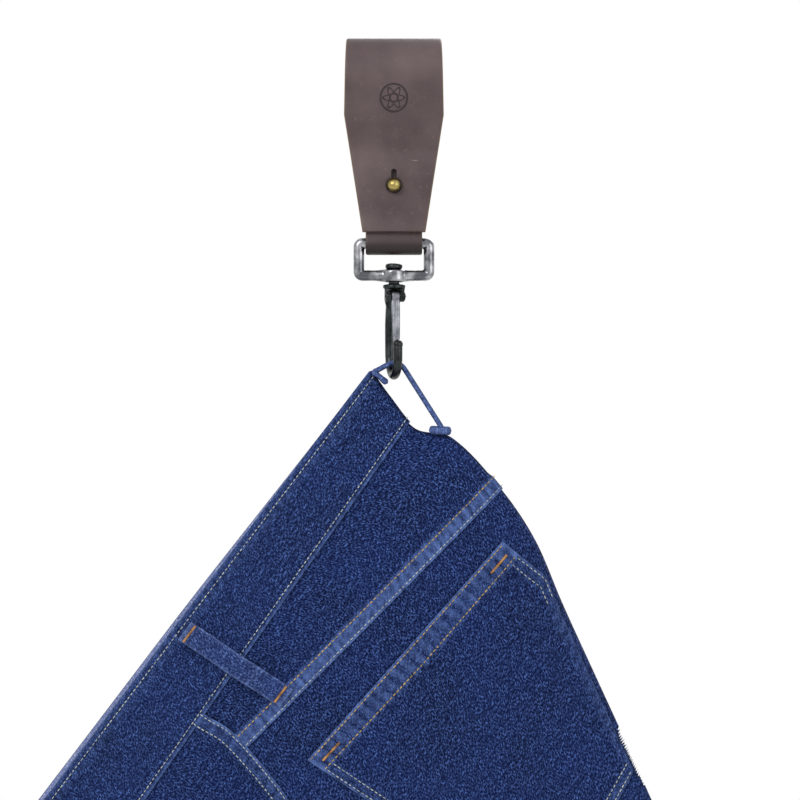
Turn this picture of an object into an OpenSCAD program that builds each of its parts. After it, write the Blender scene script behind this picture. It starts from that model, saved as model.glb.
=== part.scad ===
// Denim jeans hung by the centre-back belt loop from a swivel snap hook on a leather rail loop.
// Origin: centre of the loop over the rail. X along the rail, -Y to the front, +Z up.

/* [Leather strap] */
// Inside radius of the loop over the rail
loop_r = 20; // [16:0.5:22]
// Thickness of the leather
leather_t = 4; // [3:0.25:4.5]
// Width of the strap over the rail
strap_w = 62.4; // [56:0.2:66]
// Width of the strap where it closes
strap_end_w = 40.6; // [38:0.2:44]
// Width of the lower fold that holds the ring
fold_w = 36.4; // [30:0.2:37]
// Distance from the rail down to the end of the front flap
flap_drop = 101; // [100:0.5:102]

/* [Stud] */
// Radius of the stud's ball
ball_r = 4.35; // [3.5:0.05:4.5]
// Distance from the rail down to the stud
stud_drop = 71.2; // [68:0.2:76]

/* [Ring] */
// Thickness of the ring's bars
bar_d = 7; // [6:0.1:7]
// Clear width inside the ring
ring_w = 38.2; // [37.6:0.1:44]
// Height of the ring between bar centres
ring_h = 20.8; // [20:0.1:24]

/* [Hook] */
// Turn of the hook in its swivel
hook_turn = 12; // [-30:1:30]
// Thickness of the hook's bowl
wire_d = 6; // [5:0.2:6.2]
// Radius of the bowl, to the middle of the wire
bowl_r = 12.5; // [12:0.1:14]

/* [Jeans] */
// Thickness of one layer of denim, as a solid
denim_t = 1.5; // [1:0.1:1.6]
// Gap between two pieces that are sewn together
seam_gap = 0.4; // [0.3:0.1:1]
// Distance from the waist to the hem
leg_length = 1090; // [950:10:1090]
// Depth of the back pocket
pocket_depth = 168; // [140:1:175]

/* [Hidden] */
$fn = 48;

leather = "#5c4a4a";
nickel = "#77777a";
gunmetal = "#35383a";
brass = "#a08c50";
denim = "#24377a";
denim_light = "#5c6ca8";

// Leather: centre lines of the leaves, as [y, z]
loop_mid = loop_r + leather_t / 2;
fold_z = -107.9;
bar_r = bar_d / 2;
fold_r = bar_r + 0.25;
fold_mid = fold_r + leather_t / 2;
leaf_y = leather_t / 2;
flap_y = leather_t * 1.5 + 0.3;
pinch_z = fold_z + 15;
bend_z = -50;
// both leaves stay on the rail until they can leave it in a straight line
back_line = concat([for (i = [0:4]) loop_mid * [cos(5.95 * i), -sin(5.95 * i)]],
                   [[leaf_y, bend_z], [leaf_y, pinch_z], [fold_mid, fold_z]]);
return_line = [[-fold_mid, fold_z], [-leaf_y, pinch_z], [-leaf_y, -58]];
flap_line = concat([for (i = [0:4]) -loop_mid * [cos(1 + 4.65 * i), sin(1 + 4.65 * i)]],
                   [[-flap_y, bend_z + 2], [-flap_y, pinch_z + 2], [-flap_y - 2.2, -flap_drop]]);

// Stud
ball_y = -flap_y - leather_t / 2 - ball_r + 0.1;
keyhole_r = ball_r + 1;
thread_r = 1.5;

// Ring and swivel
ring_x = ring_w / 2 + bar_r;
ring_low = fold_z - ring_h;
boss_r = 7.5;
boss_low = ring_low - 4.3;
boss_high = ring_low + 3.8;
post_r = 3.55;
head_low = boss_high + 0.3;
neck_z = boss_low - 0.4;

// Hook, in its own frame
wire_r = wire_d / 2;
stem_r = 3.3;
pivot = [-4, -142.4];
pivot_r = 1.8;
gate_w = 5.4;
ear_gap = 6;
ear_t = 2.6;
bowl_z = -180.5;
seat_z = bowl_z - bowl_r;

// Back belt loop: a strip over the bowl, [x, z]
eye = [0, seat_z];
eye_r = 6.2;
strip_t = 3.4;
strip_w = 13;
upper_end = [-12.9, -191];
lower_end = [31.7, -228.2];
tail_end = [-3.9, -198.2];
strip_mid = eye_r + strip_t / 2;

// The hanging garment, from the waist down: [distance down, x and z of the right-hand edge,
// x and z of the left-hand edge, depth of one half, how far the centre back lies behind the edge]
rows = [
    [0, -15, -191, -288, -551, 22, 0],
    [20, -3, -208, -278, -569, 24, 5],
    [45, 14, -227.5, -263, -592, 27, 8],
    [67, 37, -233, -248, -610, 29, -3],
    [112, 68.6, -265.7, -219, -645, 33, 0],
    [150, 91, -299, -198, -678, 35, 10],
    [189, 108.7, -340, -177, -711, 36, 29],
    [240, 132.5, -392.5, -150, -749, 36, 52],
    [296, 158.5, -450.6, -121, -779, 36, 78],
    [350, 178, -500, -104, -801, 35, 90],
    [420, 188, -567, -97, -825, 34, 95],
    [500, 186, -647, -98, -853, 33, 95],
    [600, 176, -746, -97, -896, 32, 95],
    [700, 163, -845, -96, -949, 32, 95],
    [800, 153, -944, -92, -1012, 31, 95],
    [900, 146, -1044, -86, -1085, 30.3, 95],
    [1000, 140, -1144, -80, -1163, 29.6, 95],
    [1090, 136, -1234, -74, -1236, 29, 95]];
fork = 200;          // the halves start to part into two legs this far down
crotch = 262;        // and the inner layers start this far down
crotch_run = 40;
leg_gap = 2.5;       // half the gap between the legs
inseam = 0.495;      // where the inner layers meet, as a share of the row
front_edge = 0.985;  // where the waistband ends at the front

function smooth(t) = let(s = min(1, max(0, t))) s * s * (3 - 2 * s);
function mix(a, b, t) = a + (b - a) * t;
function unit(v) = v / norm(v);

// A smooth curve through one column of the rows
function row_at(v, i = 0) = (i >= len(rows) - 2 || v < rows[i + 1][0]) ? i : row_at(v, i + 1);
function slope(i, k) =
    let(a = rows[max(0, i - 1)], b = rows[min(len(rows) - 1, i + 1)]) (b[k] - a[k]) / (b[0] - a[0]);
function column(v, k) =
    let(i = row_at(v), a = rows[i], b = rows[i + 1], d = b[0] - a[0], t = (v - a[0]) / d)
    (2 * t ^ 3 - 3 * t ^ 2 + 1) * a[k] + (t ^ 3 - 2 * t ^ 2 + t) * d * slope(i, k)
    + (3 * t ^ 2 - 2 * t ^ 3) * b[k] + (t ^ 3 - t ^ 2) * d * slope(i + 1, k);

// A point of the left half: c runs from the right-hand edge, 0, over the outside to the left-hand
// edge, 1. Below 0 and above 1 it is on the inside of the leg.
function garment(c, v) =
    let(t = c < 0 ? -c : c > 1 ? 2 - c : c,
        h = column(v, 5),
        mid = h / 2 * smooth((v - fork) / 100),
        round = pow(sin(180 * t), mix(0.8, 0.5, smooth(v / 200))),
        y = (c < 0 || c > 1) ? mix(mid, leg_gap, round) : mix(mid, h, round))
    [mix(column(v, 1), column(v, 3), t), -y, mix(column(v, 2), column(v, 4), t)];
function row_ends(v) = [column(v, 1) - column(v, 3), 0, column(v, 2) - column(v, 4)];
function outward(c, v) =
    let(d = 0.002)
    c == 0 ? unit(row_ends(v))
    : c == 1 ? -unit(row_ends(v))
    : unit(cross(garment(c + d, v) - garment(c - d, v), garment(c, v + 1) - garment(c, v - 1)));
function on_cloth(c, v, lift) = garment(c, v) + lift * outward(c, v);

// Lines on the garment
function share(u, v) = (u - column(v, 6)) / norm(row_ends(v));
function side_seam(v) = mix(0.49, 0.5, smooth(v / 400));
function down(top, b) = b < 0.6 ? mix(top, 330, b / 0.6) : mix(330, leg_length, (b - 0.6) / 0.4);
function band_edge(c) = 38.5 + 17 * c;
function yoke_edge(c) = 112 - 64 * c;
function back_edge(v) = -inseam * smooth((v - crotch) / crotch_run);
function front_seam(v) = v < crotch ? 1 : 1 + inseam * smooth((v - crotch) / crotch_run);
function mouth_edge(a) = 39 + 16 + 78 * (1 - smooth(a / 0.5));

// A closed sheet between two lifts over a patch with na by nb cells
module patch(spot, na, nb, low, high) {
    n = nb + 1;
    m = (na + 1) * n;
    points = [for (lift = [high, low]) for (i = [0:na]) for (j = [0:nb]) spot(i / na, j / nb, lift)];
    over = [for (i = [0:na - 1]) for (j = [0:nb - 1]) let(k = i * n + j)
            each [[k, k + 1, k + n + 1], [k, k + n + 1, k + n]]];
    under = [for (f = over) [f[2] + m, f[1] + m, f[0] + m]];
    start = [for (i = [0:na]) i * n];
    end = [for (i = [na:-1:0]) i * n + nb];
    rim = concat(start, [for (j = [1:nb - 1]) na * n + j], end, [for (j = [nb - 1:-1:1]) j]);
    sides = [for (q = [0:len(rim) - 1]) let(a = rim[q], b = rim[(q + 1) % len(rim)])
             each [[a, b, b + m], [a, b + m, a + m]]];
    polyhedron(points = points, faces = concat(over, under, sides), convexity = 6);
}
module far_side() { mirror([0, 1, 0]) children(); }

// A strip of the leather's thickness along a line of [y, z], drawn in its own plane
function side_of(line, i) =
    let(a = unit(line[i] - line[max(0, i - 1)] + (i == 0 ? line[1] - line[0] : [0, 0])),
        b = i == len(line) - 1 ? a : unit(line[i + 1] - line[i]),
        m = unit([-(a + b)[1], (a + b)[0]]))
    m / (m * [-b[1], b[0]]);
module strip(line) {
    left = [for (i = [0:len(line) - 1]) line[i] + side_of(line, i) * leather_t / 2];
    right = [for (i = [len(line) - 1:-1:0]) line[i] - side_of(line, i) * leather_t / 2];
    polygon(concat(left, right));
}
// Turns a drawing in [y, z] into a bar along X
module across(w) {
    rotate([90, 0, 90]) linear_extrude(w, center = true) children();
}
// The strap's outline from the front
module strap_outline(low, low_w) {
    rotate([90, 0, 0]) linear_extrude(80, center = true)
        polygon([[-strap_w / 2, 30], [strap_w / 2, 30], [strap_w / 2 + 0.7, -26.5],
                 [low_w / 2, low], [-low_w / 2, low], [-strap_w / 2 - 0.7, -26.5]]);
}

module strap_body() {
    color(leather) difference() {
        union() {
            intersection() {
                across(80) {
                    difference() {
                        circle(loop_r + leather_t);
                        circle(loop_r);
                        translate([-40, -80]) square([80, 80]);
                    }
                    strip(back_line);
                }
                strap_outline(-flap_drop, strap_end_w - 1);
            }
            intersection() {
                across(fold_w) {
                    difference() {
                        translate([0, fold_z]) circle(fold_r + leather_t);
                        translate([0, fold_z]) circle(fold_r);
                        translate([-20, fold_z]) square([40, 40]);
                    }
                    strip(return_line);
                    strip(back_line);
                }
                translate([0, 0, fold_z]) cube([80, 60, 100], center = true);
            }
        }
        translate([0, 0, -stud_drop]) rotate([90, 0, 0]) cylinder(h = 30, r = thread_r + 0.1, center = true);
    }
}

module strap_flap() {
    color(leather) difference() {
        intersection() {
            across(80) strip(flap_line);
            strap_outline(-flap_drop, strap_end_w);
        }
        for (up = [0, 4.5])
            translate([0, -flap_y, up - stud_drop]) rotate([90, 0, 0])
                cylinder(h = 20, r = keyhole_r, center = true);
    }
}

module stud_ball() {
    color(brass) difference() {
        union() {
            translate([0, ball_y, -stud_drop]) sphere(ball_r);
            translate([0, -leather_t, -stud_drop]) rotate([90, 0, 0]) cylinder(h = 1.2, r = ball_r);
            translate([0, -leather_t, -stud_drop]) rotate([90, 0, 0])
                cylinder(h = -leather_t - ball_y, r = 2.3);
        }
        translate([0, 0, -stud_drop]) rotate([90, 0, 0]) cylinder(h = 11, r = thread_r + 0.05);
    }
}

module stud_screw() {
    color(brass) difference() {
        translate([0, 0, -stud_drop]) rotate([90, 0, 0]) {
            translate([0, 0, -leather_t - 1.4]) cylinder(h = 1.4, r = 4.6);
            translate([0, 0, -leather_t]) cylinder(h = leather_t + 10, r = thread_r);
        }
        translate([0, leather_t + 1.2, -stud_drop]) cube([1, 1, 12], center = true);
    }
}

module bar(from, to, r) {
    d = to - from;
    translate(from) rotate([0, acos(d[2] / norm(d)), atan2(d[1], d[0])]) cylinder(h = norm(d), r = r);
}

module swivel_ring() {
    corners = [[-ring_x, 0, fold_z], [ring_x, 0, fold_z], [ring_x, 0, ring_low], [-ring_x, 0, ring_low]];
    color(nickel) difference() {
        union() {
            for (i = [0:3]) {
                translate(corners[i]) sphere(bar_r);
                bar(corners[i], corners[(i + 1) % 4], bar_r);
            }
            translate([0, 0, boss_low]) cylinder(h = boss_high - boss_low, r = boss_r);
        }
        translate([0, 0, boss_low - 1]) cylinder(h = 12, r = post_r + 0.05);
    }
}

module swivel_pin() {
    color(gunmetal) {
        translate([0, 0, neck_z]) cylinder(h = head_low - neck_z, r = post_r);
        translate([0, 0, head_low]) cylinder(h = 2.2, r = 5.5);
        translate([0, 0, head_low + 2.2]) cylinder(h = 1, r1 = 5.5, r2 = 4.5);
    }
}

module hook_frame() { rotate([0, 0, hook_turn]) children(); }
module cross_pin(h, r) { rotate([0, 90, 0]) cylinder(h = h, r = r, center = true); }

module hook_body() {
    ear_x = ear_gap / 2 + ear_t / 2;
    elbow = [0, bowl_r, -166];
    color(gunmetal) hook_frame() difference() {
        union() {
            translate([0, 0, neck_z - 1]) cylinder(h = 1, r = 4.5);
            intersection() {
                translate([0, 0, neck_z - 4]) cylinder(h = 3, r = 7);
                translate([0, 0, neck_z]) cube([20, 12, 20], center = true);
            }
            for (x = [-ear_x, ear_x]) {
                translate([x, pivot[0], pivot[1]]) cross_pin(ear_t, 4.4);
                translate([x, -0.5, neck_z - 6.5]) cube([ear_t, 10, 7], center = true);
            }
            bar([0, 4.4, -137.5], elbow, stem_r);
            translate([0, 3.6, neck_z - 5]) cube([9, 5, 4], center = true);
            translate(elbow) sphere(stem_r);
            bar(elbow, [0, bowl_r, bowl_z], stem_r);
            translate([0, 0, bowl_z]) rotate([0, 90, 0]) rotate([0, 0, -90])
                rotate_extrude(angle = 180) translate([bowl_r, 0]) circle(wire_r);
            bar([0, -bowl_r, bowl_z], [0, -bowl_r, bowl_z + 6.6], wire_r);
            translate([0, -bowl_r, bowl_z + 6.6]) sphere(wire_r);
        }
        translate([0, pivot[0], pivot[1]]) cross_pin(20, pivot_r + 0.02);
    }
}

module gate() {
    color("#9a9a9a") hook_frame() difference() {
        hull() {
            translate([0, pivot[0], pivot[1]]) cross_pin(gate_w, 3.6);
            translate([0, -7.6, -172]) cross_pin(gate_w, 1.4);
        }
        translate([0, pivot[0], pivot[1]]) cross_pin(20, pivot_r + 0.05);
        translate([0, pivot[0], pivot[1]]) cross_pin(2.6, 3);
        translate([0, pivot[0] + 4, pivot[1] - 3]) cube([2.6, 8, 8], center = true);
    }
}

module gate_pin() {
    head = ear_gap / 2 + ear_t + 0.02;
    color(gunmetal) hook_frame() translate([0, pivot[0], pivot[1]]) {
        cross_pin(2 * head, pivot_r);
        for (x = [-head - 0.4, head + 0.4]) translate([x, 0, 0]) cross_pin(0.8, 3);
    }
}

module gate_spring() {
    color("silver") hook_frame() translate([0, pivot[0], pivot[1]]) {
        for (x = [-0.8, 0, 0.8])
            translate([x, 0, 0]) rotate([0, 90, 0]) rotate_extrude() translate([2.4, 0]) circle(0.38);
        translate([0, 3.9, -1.6]) cube([0.7, 4, 0.7], center = true);
    }
}

// The strip runs over the bowl on an arc and straight to its two sewn ends
function to_eye(p) = p - eye;
function touch_angle(p, turn) =
    atan2(to_eye(p)[1], to_eye(p)[0]) + turn * acos(strip_mid / norm(to_eye(p)));
module strip_leg(from, to) {
    d = to - from;
    translate([from[0], 0, from[1]]) rotate([0, -atan2(d[1], d[0]), 0])
        translate([0, -strip_w / 2, -strip_t / 2]) cube([norm(d), strip_w, strip_t]);
}
module tuck(from, to, r, w) {
    hull() for (p = [from, to])
        translate([p[0], 0, p[1]]) rotate([90, 0, 0]) cylinder(h = w, r = r, center = true, $fn = 24);
}
module back_belt_loop() {
    right = touch_angle(lower_end, 1);
    left = touch_angle(upper_end, -1);
    color(denim_light) {
        translate([eye[0], 0, eye[1]]) rotate([90, 0, 0]) rotate([0, 0, right])
            rotate_extrude(angle = left - right)
                translate([eye_r, -strip_w / 2]) square([strip_t, strip_w]);
        strip_leg(eye + strip_mid * [cos(right), sin(right)], lower_end);
        strip_leg(upper_end, eye + strip_mid * [cos(left), sin(left)]);
        tuck(upper_end, tail_end, 2.5, 10);
        tuck([24.4, -228.4], [35.7, -228.9], 2.75, 14);
    }
}

// A belt loop sewn over the waistband, at a distance from the centre back
module belt_loop(u, lean) {
    patch(function(a, b, lift) let(v = 3 + 78 * b)
        on_cloth(share(u + 14 * (a - 0.5) + lean * b, v), v, lift), 2, 6, 2, 3.6);
}
module rear_belt_loop_left() { color(denim_light) belt_loop(202, -12); }
module rear_belt_loop_right() { color(denim_light) far_side() belt_loop(202, -12); }
module front_belt_loop_left() { color(denim_light) belt_loop(345, 0); }
module front_belt_loop_right() { color(denim_light) far_side() belt_loop(345, 0); }

// The waistband runs from the front, round the centre back, to the front
module band(low, high, top, lower, reach) {
    patch(function(a, b, lift)
        let(s = (2 * a - 1) * reach, c = abs(s) < 0.001 ? 0 : abs(s), v = top + b * (band_edge(c) - lower - top),
            p = on_cloth(c, v, lift))
        [p[0], (s < 0 ? -1 : 1) * p[1], p[2]], 48, 3, low, high);
}
module waistband_outer() { color(denim) band(-denim_t, 0, 0, 0, front_edge); }
module waistband_facing() { color(denim_light) band(-2 * denim_t - 0.4, -denim_t - 0.4, 1, 1, front_edge - 0.05); }

module yoke_half() {
    patch(function(a, b, lift)
        let(c0 = a * 0.48,
            v = mix(band_edge(c0) + seam_gap, yoke_edge(c0) - seam_gap, b),
            c = a * (side_seam(v) - 0.001)) on_cloth(c, v, lift), 12, 4, -denim_t, 0);
}
module yoke_left() { color(denim) yoke_half(); }
module yoke_right() { color(denim) far_side() yoke_half(); }

module back_half() {
    patch(function(a, b, lift)
        let(v = down(yoke_edge(0.48 * a), b),
            c = mix(back_edge(v), side_seam(v) - 0.001, a)) on_cloth(c, v, lift), 12, 40, -denim_t, 0);
}
module back_panel_left() { color(denim) back_half(); }
module back_panel_right() { color(denim) far_side() back_half(); }

module front_half() {
    patch(function(a, b, lift)
        let(v = down(mouth_edge(a), b),
            c = mix(side_seam(v) + 0.001, front_seam(v), a)) on_cloth(c, v, lift), 14, 40, -denim_t, 0);
}
module front_panel_left() { color(denim) front_half(); }
module front_panel_right() { color(denim) far_side() front_half(); }

module pocket_half() {
    patch(function(a, b, lift)
        let(top = mix(133, 117, a),
            v = mix(top, top + pocket_depth + 10 * (1 - abs(2 * a - 1)) - 10, b),
            c = mix(max(0.03, share(40, v)), share(210, v), a))
        on_cloth(c, v, lift), 8, 8, 0.4, denim_t + 0.4);
}
module back_pocket_left() { color(denim) pocket_half(); }
module back_pocket_right() { color(denim) far_side() pocket_half(); }

// The piece that shows in the mouth of the front pocket
module facing_half() {
    patch(function(a, b, lift)
        let(c0 = mix(0.49, 0.77, a),
            v = mix(band_edge(c0) + seam_gap, mouth_edge(a * 0.52) + 25, b),
            c = mix(side_seam(v) + 0.004, 0.77, a)) on_cloth(c, v, lift), 8, 4, -2 * denim_t - 0.4, -denim_t - 0.4);
}
module pocket_facing_left() { color(denim) facing_half(); }
module pocket_facing_right() { color(denim) far_side() facing_half(); }
module coin_pocket() {
    color(denim) far_side() patch(function(a, b, lift)
        let(v = mix(band_edge(0.6) + 12, band_edge(0.6) + 52, b))
        on_cloth(mix(0.51, 0.6, a), v, lift), 4, 3, -denim_t - 0.2, -0.6);
}
module fly_placket() {
    color(denim) patch(function(a, b, lift)
        let(v = mix(band_edge(1) + 2, 205, b))
        on_cloth(mix(0.99 - 0.09 * (1 - b ^ 4), 0.99, a), v, lift), 4, 10, 0.4, denim_t + 0.2);
}

// A round fitting that stands on the cloth
module stud_on(c, v, r, h, lift) {
    p = on_cloth(c, v, lift);
    n = outward(c, v);
    translate(p) rotate([0, acos(n[2]), atan2(n[1], n[0])]) cylinder(h = h, r = r);
}
module waist_button() {
    color(brass) {
        stud_on(0.95, 24, 3, 1.6, 0);
        stud_on(0.95, 24, 8.5, 2.4, 1.6);
    }
}
module rivet_half() {
    for (spot = [[0.515, 136], [0.73, 60]])
        stud_on(spot[0], spot[1], 4.2, 1.4, 0.3);
}
module rivets() {
    color(brass) {
        rivet_half();
        far_side() rivet_half();
    }
}

// The turned-up hem inside the end of a leg
module hem_half() {
    patch(function(a, b, lift)
        let(v = mix(leg_length - 16, leg_length, b), c = mix(-inseam, 1 + inseam, a))
        on_cloth(abs(c) < 0.001 ? 0 : abs(c - 1) < 0.001 ? 1 : c, v, lift), 40, 2, -2 * denim_t - 1.6, -denim_t - 1.6);
}
module hem_left() { color(denim_light) hem_half(); }
module hem_right() { color(denim_light) far_side() hem_half(); }

strap_body();
strap_flap();
stud_ball();
stud_screw();
swivel_ring();
swivel_pin();
hook_body();
gate();
gate_pin();
gate_spring();
back_belt_loop();
rear_belt_loop_left();
rear_belt_loop_right();
front_belt_loop_left();
front_belt_loop_right();
waistband_outer();
waistband_facing();
yoke_left();
yoke_right();
back_panel_left();
back_panel_right();
front_panel_left();
front_panel_right();
back_pocket_left();
back_pocket_right();
pocket_facing_left();
pocket_facing_right();
coin_pocket();
fly_placket();
waist_button();
rivets();
hem_left();
hem_right();
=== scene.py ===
import math
import bpy
import bmesh
import numpy as np
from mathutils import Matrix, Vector, noise


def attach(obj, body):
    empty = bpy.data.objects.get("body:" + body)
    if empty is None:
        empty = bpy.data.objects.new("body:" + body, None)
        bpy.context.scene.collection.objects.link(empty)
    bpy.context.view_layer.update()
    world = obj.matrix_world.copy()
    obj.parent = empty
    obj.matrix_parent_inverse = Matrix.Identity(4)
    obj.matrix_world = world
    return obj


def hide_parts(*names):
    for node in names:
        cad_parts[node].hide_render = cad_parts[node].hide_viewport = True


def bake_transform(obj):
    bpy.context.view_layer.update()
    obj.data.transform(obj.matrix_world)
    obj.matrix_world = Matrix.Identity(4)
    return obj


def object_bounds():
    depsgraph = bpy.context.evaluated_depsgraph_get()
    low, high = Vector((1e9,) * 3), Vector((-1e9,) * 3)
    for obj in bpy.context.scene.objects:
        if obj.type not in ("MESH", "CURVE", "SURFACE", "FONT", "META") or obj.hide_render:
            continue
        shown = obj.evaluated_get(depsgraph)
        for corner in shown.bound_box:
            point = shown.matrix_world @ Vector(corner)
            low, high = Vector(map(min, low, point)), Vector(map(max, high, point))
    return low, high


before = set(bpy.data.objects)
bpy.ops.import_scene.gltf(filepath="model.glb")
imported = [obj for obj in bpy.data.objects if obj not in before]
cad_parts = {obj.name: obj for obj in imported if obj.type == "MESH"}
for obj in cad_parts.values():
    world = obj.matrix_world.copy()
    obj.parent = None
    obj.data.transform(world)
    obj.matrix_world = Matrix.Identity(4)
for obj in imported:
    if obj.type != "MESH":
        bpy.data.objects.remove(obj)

cadBox = [list(corner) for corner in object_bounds()]
mm = 0.001


# Nodes, colours and materials
def colour(code):
    values = [int(code[i:i + 2], 16) / 255 for i in (1, 3, 5)]
    return [x / 12.92 if x <= 0.04045 else ((x + 0.055) / 1.055) ** 2.4 for x in values] + [1.0]


def add(tree, kind, inputs=None, **settings):
    node = tree.nodes.new(kind)
    for name, value in settings.items():
        setattr(node, name, value)
    for name, value in (inputs or {}).items():
        socket = node.inputs[name]
        if isinstance(value, bpy.types.NodeSocket):
            tree.links.new(value, socket)
        else:
            socket.default_value = value
    return node


def newMaterial(name):
    material = bpy.data.materials.new(name)
    material.use_nodes = True
    tree = material.node_tree
    tree.nodes.clear()
    shader = add(tree, "ShaderNodeBsdfPrincipled")
    add(tree, "ShaderNodeOutputMaterial", {"Surface": shader.outputs[0]})
    return material, tree, shader


def mixed(tree, factor, a, b):
    return add(tree, "ShaderNodeMix", {0: factor, 6: a, 7: b}, data_type="RGBA").outputs[2]


def ramp(tree, value, low, high):
    return add(tree, "ShaderNodeMapRange", {"Value": value, "From Min": low, "From Max": high}).outputs[0]


denimLook = {
    "thread": 1050.0,      # yarns per metre across the cloth, drawn a little coarser than real ones
    "slub": 260.0,         # uneven yarn along the warp, per metre
    "wash": 22.0,          # patches left by the wash, per metre
    "twill": 0.314 * 760.0,                    # diagonal ribs
    "lean": math.radians(28),                  # of the ribs, from the warp
    "roughness": 0.88, "sheen": 0.01, "specular": 0.06,
}


# Indigo denim: cotton twill, dark ring-dyed warp over a white weft, stone washed.
# The white core shows as specks and along every raised seam.
def makeDenim(name, deep, mid, pale, fade):
    material, tree, shader = newMaterial(name)
    cloth = add(tree, "ShaderNodeUVMap", uv_map="cloth").outputs[0]
    warp = add(tree, "ShaderNodeMapping", {"Vector": cloth, "Scale": (1.0, 0.62, 1.0)}).outputs[0]
    speck = add(tree, "ShaderNodeTexNoise", {"Vector": warp, "Scale": denimLook["thread"],
                                            "Detail": 3.0, "Roughness": 0.65}).outputs[0]
    slub = add(tree, "ShaderNodeTexNoise", {"Vector": warp, "Scale": denimLook["slub"],
                                           "Detail": 4.0, "Roughness": 0.7}).outputs[0]
    wash = add(tree, "ShaderNodeTexNoise", {"Vector": cloth, "Scale": denimLook["wash"],
                                           "Detail": 5.0, "Roughness": 0.6}).outputs[0]
    lean = (0, 0, denimLook["lean"])
    leaning = add(tree, "ShaderNodeMapping", {"Vector": cloth, "Rotation": lean}).outputs[0]
    twill = add(tree, "ShaderNodeTexWave", {"Vector": leaning, "Scale": denimLook["twill"], "Distortion": 1.6,
                                            "Detail": 2.0, "Detail Scale": 2.0}).outputs["Fac"]
    wear = add(tree, "ShaderNodeAttribute", attribute_name="wear").outputs["Fac"]
    base = mixed(tree, ramp(tree, wash, 0.35, 0.65), colour(deep), colour(mid))
    base = mixed(tree, ramp(tree, twill, 0.1, 1.6), base, colour(mid))
    faded = add(tree, "ShaderNodeMath", {0: ramp(tree, speck, 0.48, 0.64), 1: ramp(tree, slub, 0.25, 0.62)},
                operation="MULTIPLY").outputs[0]
    base = mixed(tree, faded, base, colour(pale))
    worn = add(tree, "ShaderNodeMath", {0: wear, 1: ramp(tree, slub, 0.25, 0.65)},
               operation="MULTIPLY").outputs[0]
    base = mixed(tree, worn, base, colour(fade))
    tree.links.new(base, shader.inputs["Base Color"])
    shader.inputs["Roughness"].default_value = denimLook["roughness"]
    shader.inputs["Sheen Weight"].default_value = denimLook["sheen"]
    shader.inputs["Sheen Roughness"].default_value = 0.6
    shader.inputs["Specular IOR Level"].default_value = denimLook["specular"]
    grain = add(tree, "ShaderNodeMath", {0: twill, 1: speck}, operation="ADD").outputs[0]
    weave = add(tree, "ShaderNodeBump", {"Height": grain, "Strength": 0.45, "Distance": 0.0006})
    soft = add(tree, "ShaderNodeBump", {"Height": slub, "Strength": 0.35, "Distance": 0.0012,
                                        "Normal": weave.outputs[0]})
    tree.links.new(soft.outputs[0], shader.inputs["Normal"])
    return material


# Polyester-wrapped cotton sewing thread: twisted, slightly glossy
def makeThread(name, dark, light):
    material, tree, shader = newMaterial(name)
    place = add(tree, "ShaderNodeTexCoord").outputs["Object"]
    shade = add(tree, "ShaderNodeTexNoise", {"Vector": place, "Scale": 180.0, "Detail": 3.0}).outputs[0]
    twist = add(tree, "ShaderNodeTexWave", {"Vector": place, "Scale": 420.0, "Distortion": 2.0}).outputs["Fac"]
    base = mixed(tree, ramp(tree, shade, 0.35, 0.65), colour(dark), colour(light))
    tree.links.new(base, shader.inputs["Base Color"])
    shader.inputs["Roughness"].default_value = 0.6
    bump = add(tree, "ShaderNodeBump", {"Height": twist, "Strength": 0.3, "Distance": 0.0002})
    tree.links.new(bump.outputs[0], shader.inputs["Normal"])
    return material


indigo = makeDenim("indigoDenim", "#030824", "#06123a", "#46609e", "#5b73ac")
fadedIndigo = makeDenim("fadedDenim", "#071030", "#0f1e4c", "#566da6", "#6f84b8")
innerDenim = makeDenim("denimReverse", "#4a5680", "#6a76a0", "#a8b0cc", "#c8cede")
goldThread = makeThread("goldThread", "#7d6a32", "#b89a52")
paleThread = makeThread("paleThread", "#7d8484", "#adb3a8")
tackThread = makeThread("tackThread", "#6d4a1e", "#b58448")


# A plain flower pressed into the front of the flap: two rings and six petals, 17 mm across
stamp = {"z": -0.0165, "outer": 0.0085, "inner": 0.0026, "petal": 0.0052, "wave": 0.0016, "line": 0.00055}


def pressedMark(tree, place):
    def maths(operation, a, b=0.0):
        return add(tree, "ShaderNodeMath", {0: a, 1: b}, operation=operation).outputs[0]
    axes = add(tree, "ShaderNodeSeparateXYZ", {"Vector": place}).outputs
    down = maths("SUBTRACT", axes["Z"], stamp["z"])
    flat = add(tree, "ShaderNodeCombineXYZ", {"X": axes["X"], "Y": down}).outputs[0]
    out = add(tree, "ShaderNodeVectorMath", {0: flat}, operation="LENGTH").outputs["Value"]
    turn = maths("COSINE", maths("MULTIPLY", maths("ARCTAN2", down, axes["X"]), 6.0))
    petal = maths("MULTIPLY_ADD", turn, stamp["wave"])
    petal.node.inputs[2].default_value = stamp["petal"]
    lines = []
    for radius in (stamp["outer"], stamp["inner"], petal):
        gap = maths("ABSOLUTE", maths("SUBTRACT", out, radius))
        lines.append(ramp(tree, gap, stamp["line"] * 1.3, stamp["line"] * 0.5))
    front = ramp(tree, axes["Y"], -0.008, -0.010)
    return maths("MULTIPLY", maths("MAXIMUM", maths("MAXIMUM", lines[0], lines[1]), lines[2]), front)


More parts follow.
